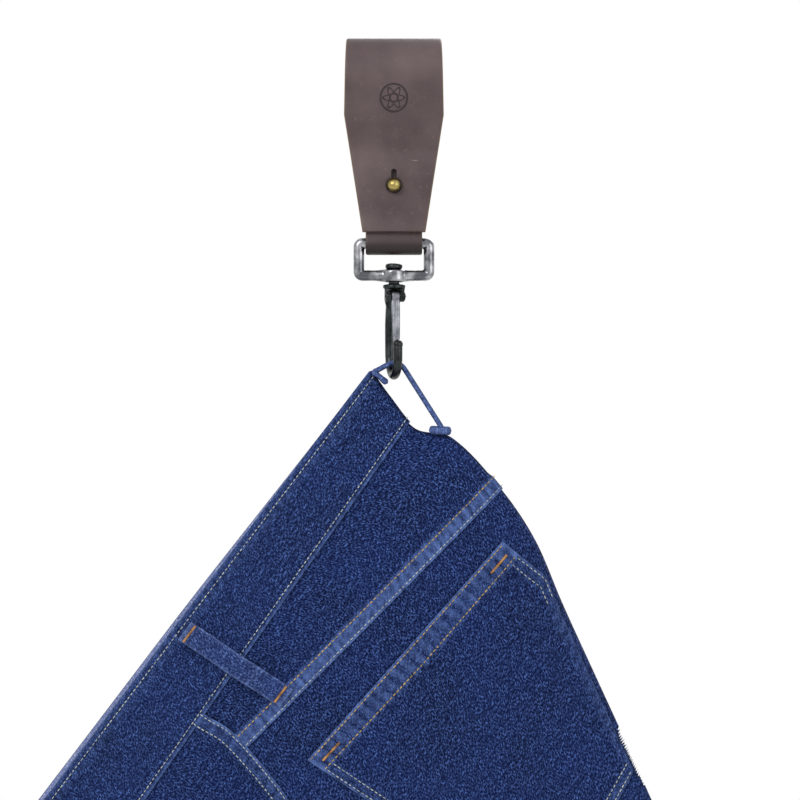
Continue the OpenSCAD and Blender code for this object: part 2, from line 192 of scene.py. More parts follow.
# Vegetable-tanned bridle leather: dull brown face with fine grain and scuffs, burnished tan edges
def makeLeather():
    material, tree, shader = newMaterial("bridleLeather")
    place = add(tree, "ShaderNodeTexCoord").outputs["Object"]
    tone = add(tree, "ShaderNodeTexNoise", {"Vector": place, "Scale": 28.0, "Detail": 5.0}).outputs[0]
    grain = add(tree, "ShaderNodeTexVoronoi", {"Vector": place, "Scale": 950.0, "Randomness": 1.0}).outputs[0]
    fine = add(tree, "ShaderNodeTexNoise", {"Vector": place, "Scale": 420.0, "Detail": 6.0}).outputs[0]
    stretched = add(tree, "ShaderNodeMapping", {"Vector": place, "Rotation": (0, 0.9, 0),
                                                "Scale": (60.0, 60.0, 420.0)}).outputs[0]
    scuffs = add(tree, "ShaderNodeTexNoise", {"Vector": stretched, "Scale": 1.0, "Detail": 2.0}).outputs[0]
    edge = add(tree, "ShaderNodeAttribute", attribute_name="edge").outputs["Fac"]
    dark = add(tree, "ShaderNodeAttribute", attribute_name="shade").outputs["Fac"]
    base = mixed(tree, ramp(tree, tone, 0.32, 0.68), colour("#3c2e30"), colour("#534546"))
    base = mixed(tree, ramp(tree, fine, 0.6, 0.9), base, colour("#5f4e4b"))
    base = mixed(tree, ramp(tree, scuffs, 0.73, 0.82), base, colour("#75625a"))
    base = mixed(tree, edge, base, colour("#6e5836"))
    # painted shade from the shade attribute: the fold below the flap tip and the rim of the keyhole
    base = mixed(tree, dark, base, colour("#1c1112"))
    # painted shade: the pressed lines are darkened as if shadowed in their grooves
    mark = pressedMark(tree, place)
    pressShade = add(tree, "ShaderNodeMath", {0: mark, 1: 0.75}, operation="MULTIPLY").outputs[0]
    base = mixed(tree, pressShade, base, colour("#140c0d"))
    tree.links.new(base, shader.inputs["Base Color"])
    shine = add(tree, "ShaderNodeMapRange", {"Value": fine, "To Min": 0.42, "To Max": 0.62}).outputs[0]
    tree.links.new(shine, shader.inputs["Roughness"])
    shader.inputs["Specular IOR Level"].default_value = 0.35
    pores = add(tree, "ShaderNodeBump", {"Height": grain, "Strength": 0.25, "Distance": 0.0003})
    waves = add(tree, "ShaderNodeBump", {"Height": tone, "Strength": 0.3, "Distance": 0.002,
                                         "Normal": pores.outputs[0]})
    stamped = add(tree, "ShaderNodeBump", {"Height": mark, "Strength": 0.9, "Distance": 0.0008,
                                           "Normal": waves.outputs[0]}, invert=True)
    tree.links.new(stamped.outputs[0], shader.inputs["Normal"])
    return material


# Cast and plated metal in a cloudy tone with dark pits; painted shade darkens the hollows, so the crowns look
# worn bright
def makeMetal(name, bright, dull, rough, pitsAndShade):
    material, tree, shader = newMaterial(name)
    place = add(tree, "ShaderNodeTexCoord").outputs["Object"]
    cloud = add(tree, "ShaderNodeTexNoise", {"Vector": place, "Scale": 120.0, "Detail": 6.0}).outputs[0]
    pits = add(tree, "ShaderNodeTexNoise", {"Vector": place, "Scale": 900.0, "Detail": 3.0}).outputs[0]
    crown = add(tree, "ShaderNodeNewGeometry").outputs["Pointiness"]
    base = mixed(tree, ramp(tree, cloud, 0.4, 0.65), colour(dull), colour(bright))
    # painted shade: the hollows (low pointiness) are darkened as if shadowed; the same dark colour fills the
    # pits below
    base = mixed(tree, ramp(tree, crown, 0.49, 0.43), base, colour(pitsAndShade))
    base = mixed(tree, ramp(tree, pits, 0.62, 0.75), base, colour(pitsAndShade))
    tree.links.new(base, shader.inputs["Base Color"])
    shader.inputs["Metallic"].default_value = 1.0
    worn = add(tree, "ShaderNodeMapRange", {"Value": cloud, "To Min": rough - 0.1,
                                            "To Max": rough + 0.15}).outputs[0]
    tree.links.new(worn, shader.inputs["Roughness"])
    bump = add(tree, "ShaderNodeBump", {"Height": pits, "Strength": 0.25, "Distance": 0.0002})
    tree.links.new(bump.outputs[0], shader.inputs["Normal"])
    return material


leather = makeLeather()
nickel = makeMetal("antiqueNickel", "#a9a9ad", "#5d5e63", 0.24, "#1b1c1f")
gunmetal = makeMetal("gunmetalPlate", "#3c3f40", "#232626", 0.3, "#0c0d0d")
gateSteel = makeMetal("brushedSteel", "#9a9ca2", "#5c5f66", 0.36, "#26282c")
brass = makeMetal("antiqueBrass", "#b3a468", "#7d6c3a", 0.3, "#3a3016")
copper = makeMetal("copperRivet", "#b07a58", "#84543a", 0.35, "#3c2418")
print("materials made")


# The hanging garment, as in the CAD: rows from the waist down, in millimetres. Each holds the distance
# down, right-hand edge x and z, left-hand edge x and z, depth of a half, centre back behind the edge.
rows = np.array([
    [0, -15, -191, -288, -551, 22, 0],
    [20, -3, -208, -278, -569, 24, 5],
    [45, 14, -227.5, -263, -592, 27, 8],
    [67, 37, -233, -248, -610, 29, -3],
    [112, 68.6, -265.7, -219, -645, 33, 0],
    [150, 91, -299, -198, -678, 35, 10],
    [189, 108.7, -340, -177, -711, 36, 29],
    [240, 132.5, -392.5, -150, -749, 36, 52],
    [296, 158.5, -450.6, -121, -779, 36, 78],
    [350, 178, -500, -104, -801, 35, 90],
    [420, 188, -567, -97, -825, 34, 95],
    [500, 186, -647, -98, -853, 33, 95],
    [600, 176, -746, -97, -896, 32, 95],
    [700, 163, -845, -96, -949, 32, 95],
    [800, 153, -944, -92, -1012, 31, 95],
    [900, 146, -1044, -86, -1085, 30.3, 95],
    [1000, 140, -1144, -80, -1163, 29.6, 95],
    [1090, 136, -1234, -74, -1236, 29, 95]])
slopes = np.array([(rows[min(i + 1, len(rows) - 1)] - rows[max(i - 1, 0)])
                   / (rows[min(i + 1, len(rows) - 1)][0] - rows[max(i - 1, 0)][0]) for i in range(len(rows))])

jeans = {
    "fork": 200, "crotch": 262, "crotchRun": 40,   # where the halves part into legs
    "legGap": 2.5, "inseam": 0.495, "frontEdge": 0.985,
    "length": 1090, "halfWaist": 455, "yokeSeam": 235, "yokeShare": 0.495,
    "cloth": 0.9,                                  # one layer of denim
    "uvWidth": 465.0,                              # a row's cloth, from edge to edge, in the material
    "farRise": 3.4, "farRiseX": -0.72, "farRiseZ": 0.68,   # the far half of the waist hangs higher
}


def smooth(t):
    t = np.clip(t, 0, 1)
    return t * t * (3 - 2 * t)


def mix(a, b, t):
    return a + (b - a) * t


def column(v, k):
    v = np.asarray(v, float)
    i = np.clip(np.searchsorted(rows[:, 0], v, side="right") - 1, 0, len(rows) - 2)
    d = rows[i + 1, 0] - rows[i, 0]
    t = (v - rows[i, 0]) / d
    return ((2 * t**3 - 3 * t**2 + 1) * rows[i, k] + (t**3 - 2 * t**2 + t) * d * slopes[i, k]
            + (3 * t**2 - 2 * t**3) * rows[i + 1, k] + (t**3 - t**2) * d * slopes[i + 1, k])


def garment(c, v):
    c, v = np.broadcast_arrays(np.asarray(c, float), np.asarray(v, float))
    t = np.where(c < 0, -c, np.where(c > 1, 2 - c, c))
    h = column(v, 5)
    mid = h / 2 * smooth((v - jeans["fork"]) / 100)
    curve = np.sin(np.pi * np.clip(t, 0, 1)).clip(0) ** mix(0.8, 0.5, smooth(v / 200))
    y = np.where((c < 0) | (c > 1), mix(mid, jeans["legGap"], curve), mix(mid, h, curve))
    return np.stack([mix(column(v, 1), column(v, 3), t), -y, mix(column(v, 2), column(v, 4), t)], -1)


def rowEnds(v):
    return np.stack([column(v, 1) - column(v, 3), 0 * np.asarray(v, float), column(v, 2) - column(v, 4)], -1)


def unit(v):
    return v / np.maximum(np.linalg.norm(v, axis=-1, keepdims=True), 1e-9)


def outward(c, v):
    c, v = np.broadcast_arrays(np.asarray(c, float), np.asarray(v, float))
    n = unit(np.cross(garment(c + 0.002, v) - garment(c - 0.002, v), garment(c, v + 1) - garment(c, v - 1)))
    ends = unit(rowEnds(v))
    inside = (c < 0) | (c > 1)
    turned = np.where(inside, n[..., 1] < -0.1, n[..., 1] > 0.1)
    n = np.where(turned[..., None], -n, n)
    # never back into the edge of the fold
    for away, direction in ((np.abs(c), ends), (np.abs(c - 1), -ends)):
        facing = np.minimum((n * direction).sum(-1), 0) * (away < 0.1)
        n = n - facing[..., None] * direction
    n = unit(n)
    n = unit(mix(ends, n, smooth((np.abs(c) - 0.003) / 0.04)[..., None]))
    return unit(mix(-ends, n, smooth((np.abs(c - 1) - 0.003) / 0.04)[..., None]))


# Soft folds: along a line from (x, z) to (x, z), with a width and a height
folds = [
    ((-30, -230), (-150, -560), 26, 2.2),
    ((20, -250), (30, -560), 30, -2.4),
    ((70, -290), (140, -520), 30, 1.8),
    ((-116, -420), (-60, -500), 9, -5.5),
    ((-150, -480), (-40, -640), 20, 4.0),
    ((-190, -560), (-60, -700), 22, -4.0),
    ((-230, -640), (-120, -700), 18, 4.0),
    ((60, -520), (130, -900), 24, 4.5),
    ((10, -640), (40, -1150), 20, -4.0),
    ((110, -760), (120, -1200), 18, 3.5),
    ((-40, -900), (0, -1220), 16, 3.0),
]


def noiseAt(x, z, seed, size):
    flat = np.stack([x.ravel() / size, z.ravel() / size], -1)
    out = [noise.noise(Vector((p[0], p[1], seed))) for p in flat]
    return np.array(out).reshape(x.shape)


def wrinkle(p, c, v, side):
    x, z = p[..., 0], p[..., 2]
    out = np.zeros(x.shape)
    for (x0, z0), (x1, z1), width, height in folds:
        dx, dz = x1 - x0, z1 - z0
        long = math.hypot(dx, dz)
        along = ((x - x0) * dx + (z - z0) * dz) / long**2
        off = ((x - x0) * dz - (z - z0) * dx) / long
        off = off + 4 * np.sin(along * 9 + width)
        ends = smooth(along / 0.25) * smooth((1 - along) / 0.25)
        out += height * np.exp(-(off / width)**2) * ends * (1 if side < 0 else -0.8)
    inside = (c < 0) | (c > 1)
    t = np.where(c < 0, -c, np.where(c > 1, 2 - c, c))
    angle = np.arctan2(x, -(z + 185)) * 10
    reach = np.hypot(x, z + 185) / 240
    out += 1.1 * noiseAt(angle * 60, reach * 60, 3.1 + side, 60) * smooth(v / 60)
    out += 2.2 * noiseAt(x, z, 9.7 + side, 70) * smooth((v - 60) / 200)
    bunched = smooth((v - 250) / 90) * smooth((620 - v) / 200) * smooth((t - 0.35) / 0.4)
    out += bunched * 5.5 * np.sin(v / 15 + 2.2 * noiseAt(x, z, 4.4 + side, 60) + t * 3)
    knee = np.exp(-((v - 690) / 110)**2)
    out += knee * 2.6 * np.sin(v / 13 + t * 5 * side) * np.sin(np.pi * t)
    out *= smooth(t / 0.07) * smooth((1 - t) / 0.07)
    return np.where(inside, 0.25 * out, out)


# A point of the cloth on one side: -1 is the left half, towards the front, and 1 the right half
def onCloth(c, v, lift, side):
    c, v = np.broadcast_arrays(np.asarray(c, float), np.asarray(v, float))
    p = garment(c, v)
    rise = np.asarray(lift, float) + wrinkle(p, c, v, side)
    p = p + outward(c, v) * rise[..., None]
    p[..., 1] *= -side
    if side > 0:     # the far half of the waist hangs a little higher than the near one
        t = np.clip(c, 0, 1)
        shift = jeans["farRise"] * smooth(t / 0.5) * smooth((90 - v) / 90)
        p[..., 0] += jeans["farRiseX"] * shift
        p[..., 2] += jeans["farRiseZ"] * shift
    return p


def share(u, v):
    return (u - column(v, 6)) / np.linalg.norm(rowEnds(v), axis=-1)


def sideSeam(v):
    return mix(0.49, 0.5, smooth(v / 400))


def bandEdge(c):
    return 38.5 + 17 * c


def yokeEdge(c):
    return 112 - 64 * c


def backEdge(v):
    return -jeans["inseam"] * smooth((v - jeans["crotch"]) / jeans["crotchRun"])


def frontSeam(v):
    return 1 + jeans["inseam"] * smooth((v - jeans["crotch"]) / jeans["crotchRun"])


def mouthEdge(a):
    return 55 + 78 * (1 - smooth(a / 0.5))


# Meshes
def newObject(name, points, faces, material):
    mesh = bpy.data.meshes.new(name)
    mesh.from_pydata((np.asarray(points, float).reshape(-1, 3) * mm).tolist(), [], faces)
    mesh.materials.append(material)
    mesh.polygons.foreach_set("use_smooth", [True] * len(mesh.polygons))
    obj = bpy.data.objects.new(name, mesh)
    bpy.context.scene.collection.objects.link(obj)
    return obj


def facesOutward(obj):
    bm = bmesh.new()
    bm.from_mesh(obj.data)
    bmesh.ops.recalc_face_normals(bm, faces=bm.faces)
    bm.to_mesh(obj.data)
    bm.free()


# A closed layer of cloth. place(a, b) gives the share of the row, the distance down and the lift;
# wearAt(a, b) says how faded the cloth is.
def clothPiece(name, place, across, along, side, material, thick=None, wearAt=None):
    thick = jeans["cloth"] if thick is None else thick
    a, b = np.meshgrid(np.linspace(0, 1, across + 1), np.linspace(0, 1, along + 1), indexing="ij")
    c, v, lift = np.broadcast_arrays(*place(a, b))
    if side:
        top, low = onCloth(c, v, lift, side), onCloth(c, v, lift - thick, side)
    else:      # a piece that runs round the centre back: c below 0 is on the right half
        right = (c < 0)[..., None]
        top = np.where(right, onCloth(-c, v, lift, 1), onCloth(np.abs(c), v, lift, -1))
        low = np.where(right, onCloth(-c, v, lift - thick, 1), onCloth(np.abs(c), v, lift - thick, -1))
    n, m = along + 1, (across + 1) * (along + 1)
    index = np.arange(m).reshape(across + 1, along + 1)
    quads = np.stack([index[:-1, :-1], index[:-1, 1:], index[1:, 1:], index[1:, :-1]], -1).reshape(-1, 4)
    faces = quads.tolist() + (quads[:, ::-1] + m).tolist()
    rim = list(index[:, 0]) + list(index[-1, 1:]) + list(index[-2::-1, -1]) + list(index[0, -2:0:-1])
    for i in range(len(rim)):
        p, q = int(rim[i]), int(rim[(i + 1) % len(rim)])
        faces.append([p, q, q + m, p + m])
    obj = newObject(name, np.concatenate([top.reshape(-1, 3), low.reshape(-1, 3)]), faces, material)
    facesOutward(obj)
    uv = np.stack([c * jeans["uvWidth"] * mm, v * mm], -1).reshape(-1, 2)
    uv = np.concatenate([uv, uv + 0.5])
    layer = obj.data.uv_layers.new(name="cloth")
    corner = np.zeros(len(obj.data.loops), np.int32)
    obj.data.loops.foreach_get("vertex_index", corner)
    layer.data.foreach_set("uv", uv[corner].astype(np.float32).ravel())
    wear = np.zeros(m)
    if wearAt:
        wear = np.clip(np.broadcast_to(wearAt(a, b), a.shape), 0, 1).ravel()
    attribute = obj.data.attributes.new("wear", "FLOAT", "POINT")
    attribute.data.foreach_set("value", np.concatenate([wear, wear * 0.6]).astype(np.float32))
    return obj


# Puckers along a row of stitches: small waves that fade away from the seam
def pucker(distance, along, wave=7.0):
    return 0.42 * np.exp(-(distance / 4.5)**2) * np.sin(2 * np.pi * along / wave + 1.5 * np.sin(along / 23))


def band01(x, low, high, soft=1.2):
    return smooth((x - low) / soft) * smooth((high - x) / soft)


sides = {"left": -1, "right": 1}


# Attach a built piece to the jeans and hide the CAD part it replaces. The flat size is
# not a pattern's: it is the built cloth's own area over its height, so it always agrees
# with the mesh and says nothing about how much cloth there should be
def hang(name, obj):
    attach(obj, "jeans")
    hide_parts(name)


# The yoke laps over the back panel in a felled seam
def makeYoke(word, side):
    def place(a, b):
        c0 = a * jeans["yokeShare"]
        edge = yokeEdge(c0) + 1.5
        v = mix(bandEdge(c0) - 5, edge, b)
        c = a * sideSeam(v)
        gap = edge - v
        lift = 1.15 * (1 - smooth((gap - 9.5) / 4)) + pucker(gap - 5, a * jeans["yokeSeam"])
        return c, v, lift
    def wearAt(a, b):
        c0, run = a * jeans["yokeShare"], a * jeans["yokeSeam"]
        gap = (yokeEdge(c0) + 1.5) - mix(bandEdge(c0) - 5, yokeEdge(c0) + 1.5, b)
        ripple = 0.5 + 0.5 * np.sin(2 * np.pi * run / 7 + 1.5 * np.sin(run / 23))
        return band01(gap, -1, 11) * (0.25 + 0.45 * ripple) + 0.6 * np.exp(-(gap / 1.2)**2)
    obj = clothPiece("yoke_" + word, place, 84, 34, side, indigo, wearAt=wearAt)
    hang("yoke_" + word, obj)


# More of a panel's rows lie above the thigh than below it
thigh = {"down": 340.0, "share": 0.62}


def downRow(top, b):
    above = mix(top, thigh["down"], b / thigh["share"])
    below = mix(thigh["down"], jeans["length"], (b - thigh["share"]) / (1 - thigh["share"]))
    return np.where(b < thigh["share"], above, below)


# The front laps over the back along the side seam, with two rows of stitches
def sideBand(off, v):
    return 1.15 * (1 - smooth((off - 9.5) / 4)) + pucker(off - 5, v, 8.0)


def bandWear(off, v):
    ripple = 0.5 + 0.5 * np.sin(2 * np.pi * v / 8 + 1.5 * np.sin(v / 23))
    return band01(off, -1, 11) * (0.04 + 0.3 * ripple) + 0.6 * np.exp(-(off / 1.3)**2)


def hemWear(v):
    up = jeans["length"] - v
    ripple = 0.5 + 0.5 * np.sin(2 * np.pi * v / 5)
    return 0.6 * np.exp(-(up / 2.5)**2) + band01(up, 0, 16) * 0.3 * ripple


# Each row keeps one point exactly on the fold
def onFold(c, fold, step):
    return np.where(np.abs(c - fold) <= step / 2, fold, c)


def makeBack(word, side):
    columns = 130
    def place(a, b):
        v = downRow(yokeEdge(jeans["yokeShare"] * a) - 9, b)
        first, last = backEdge(v), sideSeam(v) + 0.012
        return onFold(mix(first, last, a), 0.0, (last - first) / columns), v, 0 * v
    def wearAt(a, b):
        v = downRow(yokeEdge(jeans["yokeShare"] * a) - 9, b)
        return hemWear(v) + 0.35 * np.exp(-((1 - a) * jeans["yokeSeam"] / 14)**2) * smooth((v - 150) / 60)
    obj = clothPiece("back_panel_" + word, place, columns, 230, side, indigo, wearAt=wearAt)
    hang("back_panel_" + word, obj)


def frontOff(a, v):
    return a * mix(250, 160, smooth((v - 200) / 180))


def makeFront(word, side):
    columns = 140
    def place(a, b):
        v = downRow(mouthEdge(a), b)
        first, last = sideSeam(v), frontSeam(v)
        c = onFold(mix(first, last, a), 1.0, (last - first) / columns)
        top = v - mouthEdge(a)
        rolled = np.where(a < 0.5, 0.9 * (1 - smooth((top - 8) / 3)), 0)
        return c, v, np.maximum(rolled, sideBand(frontOff(a, v), v)) + 0.1
    def wearAt(a, b):
        v = downRow(mouthEdge(a), b)
        top = v - mouthEdge(a)
        mouth = np.where(a < 0.5, 0.7 * np.exp(-(top / 1.5)**2) + 0.35 * band01(top, 0, 9), 0)
        return mouth + hemWear(v) + bandWear(frontOff(a, v), v)
    obj = clothPiece("front_panel_" + word, place, columns, 230, side, indigo, wearAt=wearAt)
    hang("front_panel_" + word, obj)


# The facing fills the mouth of the front pocket and carries the top of the side seam
def makeFacing(word, side):
    def where(a, b):
        c0 = mix(0.49, 0.77, a)
        return mix(bandEdge(c0) - 4, mouthEdge(a * 0.53) + 22, b)
    def place(a, b):
        v = where(a, b)
        under = -1.3 * smooth((v - mouthEdge(a * 0.53) + 14) / 10) * smooth(a / 0.04 + 0.2)
        return mix(sideSeam(v), 0.77, a), v, sideBand(a * 130, v) + under
    def wearAt(a, b):
        return bandWear(a * 130, where(a, b))
    obj = clothPiece("pocket_facing_" + word, place, 48, 40, side, indigo, wearAt=wearAt)
    hang("pocket_facing_" + word, obj)


def makeCoinPocket():
    def place(a, b):
        v = mix(bandEdge(0.6) + 10, bandEdge(0.6) + 58, b)
        return mix(0.515, 0.6, a), v, 0.75 + 0 * a
    def wearAt(a, b):
        return 0.6 * np.exp(-(b * 48 / 2)**2) + 0.4 * np.exp(-(np.minimum(a, 1 - a) * 38 / 1.5)**2)
    obj = clothPiece("coin_pocket", place, 12, 14, 1, indigo, thick=1.2, wearAt=wearAt)
    hang("coin_pocket", obj)


# The back pocket: a single layer turned under at its edges, with a doubled hem
pocket = {"right": 25.0, "left": 210.0, "topRight": 133.0, "topLeft": 117.0, "lowRight": 288.0,
          "lowLeft": 268.0, "point": 20.0, "hem": 15.0, "lean": 0.14, "width": 185, "height": 160}


def pocketLeft(v):
    return pocket["left"] - pocket["lean"] * np.maximum(v - pocket["topLeft"], 0)


def pocketPlace(a, b):
    top = mix(pocket["topRight"], pocket["topLeft"], a)
    low = mix(pocket["lowRight"], pocket["lowLeft"], a) + pocket["point"] * (1 - np.abs(2 * a - 1))
    v = mix(top, low, b)
    cRight = np.maximum(share(pocket["right"], v), 0.012)
    return mix(cRight, share(pocketLeft(v), v), a), v


def makePocket(word, side):
    def edges(a, b):
        c, v = pocketPlace(a, b)
        return c, v, np.minimum(a, 1 - a) * pocket["width"], b * pocket["height"], (1 - b) * pocket["height"]
    def place(a, b):
        c, v, edge, down, up = edges(a, b)
        near = np.minimum(edge, up)
        hem = 0.9 * (1 - smooth((down - pocket["hem"]) / 2))
        turned = 0.5 * (1 - smooth((near - 9) / 3))
        puff = 1.6 * smooth(near / 50) * smooth(down / 30)
        lift = 1.1 + np.maximum(hem, turned) + puff
        lift = lift + pucker(near - 4, v + a * 120, 7.5)
        return c, v, lift + 1.3 * pucker(down - 7, a * pocket["width"], 8.0) * smooth(edge / 8)
    def wearAt(a, b):
        c, v, edge, down, up = edges(a, b)
        near, run = np.minimum(edge, up), a * pocket["width"]
        ripple = 0.5 + 0.5 * np.sin(2 * np.pi * run / 8 + 1.5 * np.sin(run / 23))
        rippleDown = 0.5 + 0.5 * np.sin(2 * np.pi * v / 7.5)
        return (band01(down, -1, 15) * (0.02 + 0.42 * ripple) + 0.7 * np.exp(-(down / 1.4)**2)
                + band01(near, -1, 9) * (0.02 + 0.22 * rippleDown) + 0.5 * np.exp(-(near / 1.3)**2))
    obj = clothPiece("back_pocket_" + word, place, 74, 70, side, indigo, thick=1.5, wearAt=wearAt)
    hang("back_pocket_" + word, obj)


# A belt loop: a folded strip, tacked down at both ends and standing off between them
beltLoop = {"width": 14.0, "top": 6.0, "low": 83.0, "gap": 2.2}


def makeBeltLoop(name, u, lean, side):
    def place(a, b):
        v = mix(beltLoop["top"], beltLoop["low"], b)
        c = share(u + beltLoop["width"] * (a - 0.5) + lean * b, v)
        held = smooth(b / 0.13) * smooth((1 - b) / 0.13)
        crown = 0.5 * np.sin(np.pi * a)**0.5
        ridge = 0.3 * np.exp(-((a - 0.24) / 0.08)**2) + 0.3 * np.exp(-((a - 0.76) / 0.08)**2)
        return c, v, 2.9 + 1.4 * smooth((45 - v) / 12) * 0.4 + beltLoop["gap"] * held + crown + ridge
    def wearAt(a, b):
        edge = np.minimum(a, 1 - a) * beltLoop["width"]
        ends = np.minimum(b, 1 - b) * 77
        return 0.05 + 0.5 * np.exp(-(edge / 1.0)**2) + 0.5 * np.exp(-(ends / 2.0)**2)
    obj = clothPiece(name, place, 10, 40, side, fadedIndigo, thick=1.7, wearAt=wearAt)
    hang(name, obj)


# The waistband runs round the centre back: an outer layer that rolls over the top, and a facing
def makeWaistband():
    def across(a):
        c = (2 * a - 1) * jeans["frontEdge"]
        return np.where(np.abs(c) < 0.001, 0, c)
    def outer(a, b):
        c = across(a)
        v = -1.2 + (bandEdge(np.abs(c)) + 2.2) * b**1.15
        down = v + 1.2
        roll = np.sqrt(np.clip(1 - (1 - np.clip(down / 2.4, 0, 1))**2, 0, 1))
        low = bandEdge(np.abs(c)) - v
        run = c * jeans["halfWaist"]
        return c, v, -0.7 + 2.2 * roll + pucker(down - 5, run, 9.0) * 0.8 + pucker(low - 1, run, 8.0) * 0.7
    def outerWear(a, b):
        c = across(a)
        v = -1.2 + (bandEdge(np.abs(c)) + 2.2) * b**1.15
        low = bandEdge(np.abs(c)) + 1.0 - v
        ripple = 0.5 + 0.5 * np.sin(2 * np.pi * c * jeans["halfWaist"] / 9)
        return (0.02 + 0.4 * np.exp(-((v + 0.5) / 1.5)**2) * (0.5 + 0.5 * ripple)
                + 0.75 * np.exp(-(low / 1.1)**2) + 0.2 * band01(v, 2, 9) * ripple)
    band = clothPiece("waistband_outer", outer, 240, 26, 0, indigo, wearAt=outerWear)
    hang("waistband_outer", band)
    def inner(a, b):
        c = across(a)
        v = -1.0 + (bandEdge(np.abs(c)) + 1.5) * b**1.15
        roll = np.sqrt(np.clip(1 - (1 - np.clip((v + 1.0) / 2.4, 0, 1))**2, 0, 1))
        return c, v, -0.8 - 1.2 * roll
    facing = clothPiece("waistband_facing", inner, 160, 12, 0, innerDenim)
    hang("waistband_facing", facing)


def makeFly():
    def place(a, b):
        v = mix(bandEdge(1) - 2, 205, b)
        return mix(0.99 - 0.085 * (1 - b**4), 0.99, a), v, 1.3 + 0.6 * np.exp(-((a - 0.05) / 0.1)**2)
    def wearAt(a, b):
        return 0.6 * np.exp(-((1 - a) / 0.05)**2) + 0.3 * np.exp(-(a / 0.12)**2)
    obj = clothPiece("fly_placket", place, 12, 60, -1, indigo, thick=1.2, wearAt=wearAt)
    hang("fly_placket", obj)


def makeHem(word, side):
    def place(a, b):
        v = mix(jeans["length"] - 17, jeans["length"] - 0.4, b)
        return mix(-0.49, 1.49, a), v, -1.25 + 0 * v
    obj = clothPiece("hem_" + word, place, 150, 8, side, innerDenim, thick=0.8)
    hang("hem_" + word, obj)


for word, side in sides.items():
    makeYoke(word, side)
    makeBack(word, side)
    makeFront(word, side)
    makeFacing(word, side)
    makePocket(word, side)
    makeHem(word, side)
    makeBeltLoop("rear_belt_loop_" + word, 202, -12, side)
    makeBeltLoop("front_belt_loop_" + word, 345, 0, side)
makeWaistband()
makeCoinPocket()
makeFly()
print("cloth pieces made")


# Stitches
# Geometry Nodes lay one capsule for each stitch along the drawn rows
def stitchTree():
    tree = bpy.data.node_groups.new("stitchRow", "GeometryNodeTree")
    for name, kind in (("Geometry", "NodeSocketGeometry"), ("Pitch", "NodeSocketFloat"),
                       ("Length", "NodeSocketFloat"), ("Width", "NodeSocketFloat"),
                       ("Height", "NodeSocketFloat"), ("Thread", "NodeSocketMaterial")):
        tree.interface.new_socket(name=name, in_out="INPUT", socket_type=kind)
    tree.interface.new_socket(name="Geometry", in_out="OUTPUT", socket_type="NodeSocketGeometry")
    given = add(tree, "NodeGroupInput").outputs
    curve = add(tree, "GeometryNodeMeshToCurve", {"Mesh": given["Geometry"]}).outputs[0]
    spaced = add(tree, "GeometryNodeResampleCurve", {"Curve": curve, "Length": given["Pitch"]},
                 mode="LENGTH")
    size = add(tree, "ShaderNodeCombineXYZ", {"X": given["Width"], "Y": given["Height"],
                                              "Z": given["Length"]})
    ball = add(tree, "GeometryNodeMeshUVSphere", {"Segments": 6, "Rings": 4, "Radius": 0.5}).outputs[0]
    stitch = add(tree, "GeometryNodeTransform", {"Geometry": ball, "Scale": size.outputs[0]}).outputs[0]
    tangent = add(tree, "GeometryNodeInputTangent").outputs[0]
    along = add(tree, "FunctionNodeAlignRotationToVector", {"Vector": tangent}, axis="Z").outputs[0]
    flat = add(tree, "FunctionNodeAlignRotationToVector", {"Rotation": along, "Vector": (0, 1, 0)},
               axis="Y", pivot_axis="Z").outputs[0]
    uneven = add(tree, "FunctionNodeRandomValue", {"Min": (0.85, 0.85, 0.8), "Max": (1.1, 1.1, 1.05),
                                                   "Seed": 5}, data_type="FLOAT_VECTOR").outputs[0]
    laid = add(tree, "GeometryNodeInstanceOnPoints", {"Points": spaced.outputs[0], "Instance": stitch,
                                                      "Rotation": flat, "Scale": uneven}).outputs[0]
    real = add(tree, "GeometryNodeRealizeInstances", {"Geometry": laid}).outputs[0]
    shaded = add(tree, "GeometryNodeSetShadeSmooth", {"Geometry": real}).outputs[0]
    dressed = add(tree, "GeometryNodeSetMaterial", {"Geometry": shaded,
                                                    "Material": given["Thread"]}).outputs[0]
    add(tree, "NodeGroupOutput", {"Geometry": dressed})
    return tree


stitches = stitchTree()


def layStitches(name, lines, thread, pitch, length, width, height):
    mesh = bpy.data.meshes.new(name + "Rows")
    points, edges = [], []
    for line in lines:
        edges += [(len(points) + i, len(points) + i + 1) for i in range(len(line) - 1)]
        points += (np.asarray(line) * mm).tolist()
    mesh.from_pydata(points, edges, [])
    carrier = bpy.data.objects.new(name + "Rows", mesh)
    bpy.context.scene.collection.objects.link(carrier)
    modifier = carrier.modifiers.new("stitches", "NODES")
    modifier.node_group = stitches
    values = {"Pitch": pitch * mm, "Length": length * mm, "Width": width * mm, "Height": height * mm,
              "Thread": thread}
    for item in stitches.interface.items_tree:
        if item.in_out == "INPUT" and item.name in values:
            modifier[item.identifier] = values[item.name]
    bpy.context.view_layer.update()
    result = bpy.data.meshes.new_from_object(carrier.evaluated_get(bpy.context.evaluated_depsgraph_get()))
    bpy.data.objects.remove(carrier)
    obj = bpy.data.objects.new(name, result)
    bpy.context.scene.collection.objects.link(obj)
    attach(obj, "jeans")
    return obj


def rowLine(cAt, vAt, lift, side, steps=60):
    t = np.linspace(0, 1, steps)
    return onCloth(cAt(t), vAt(t), lift, side)


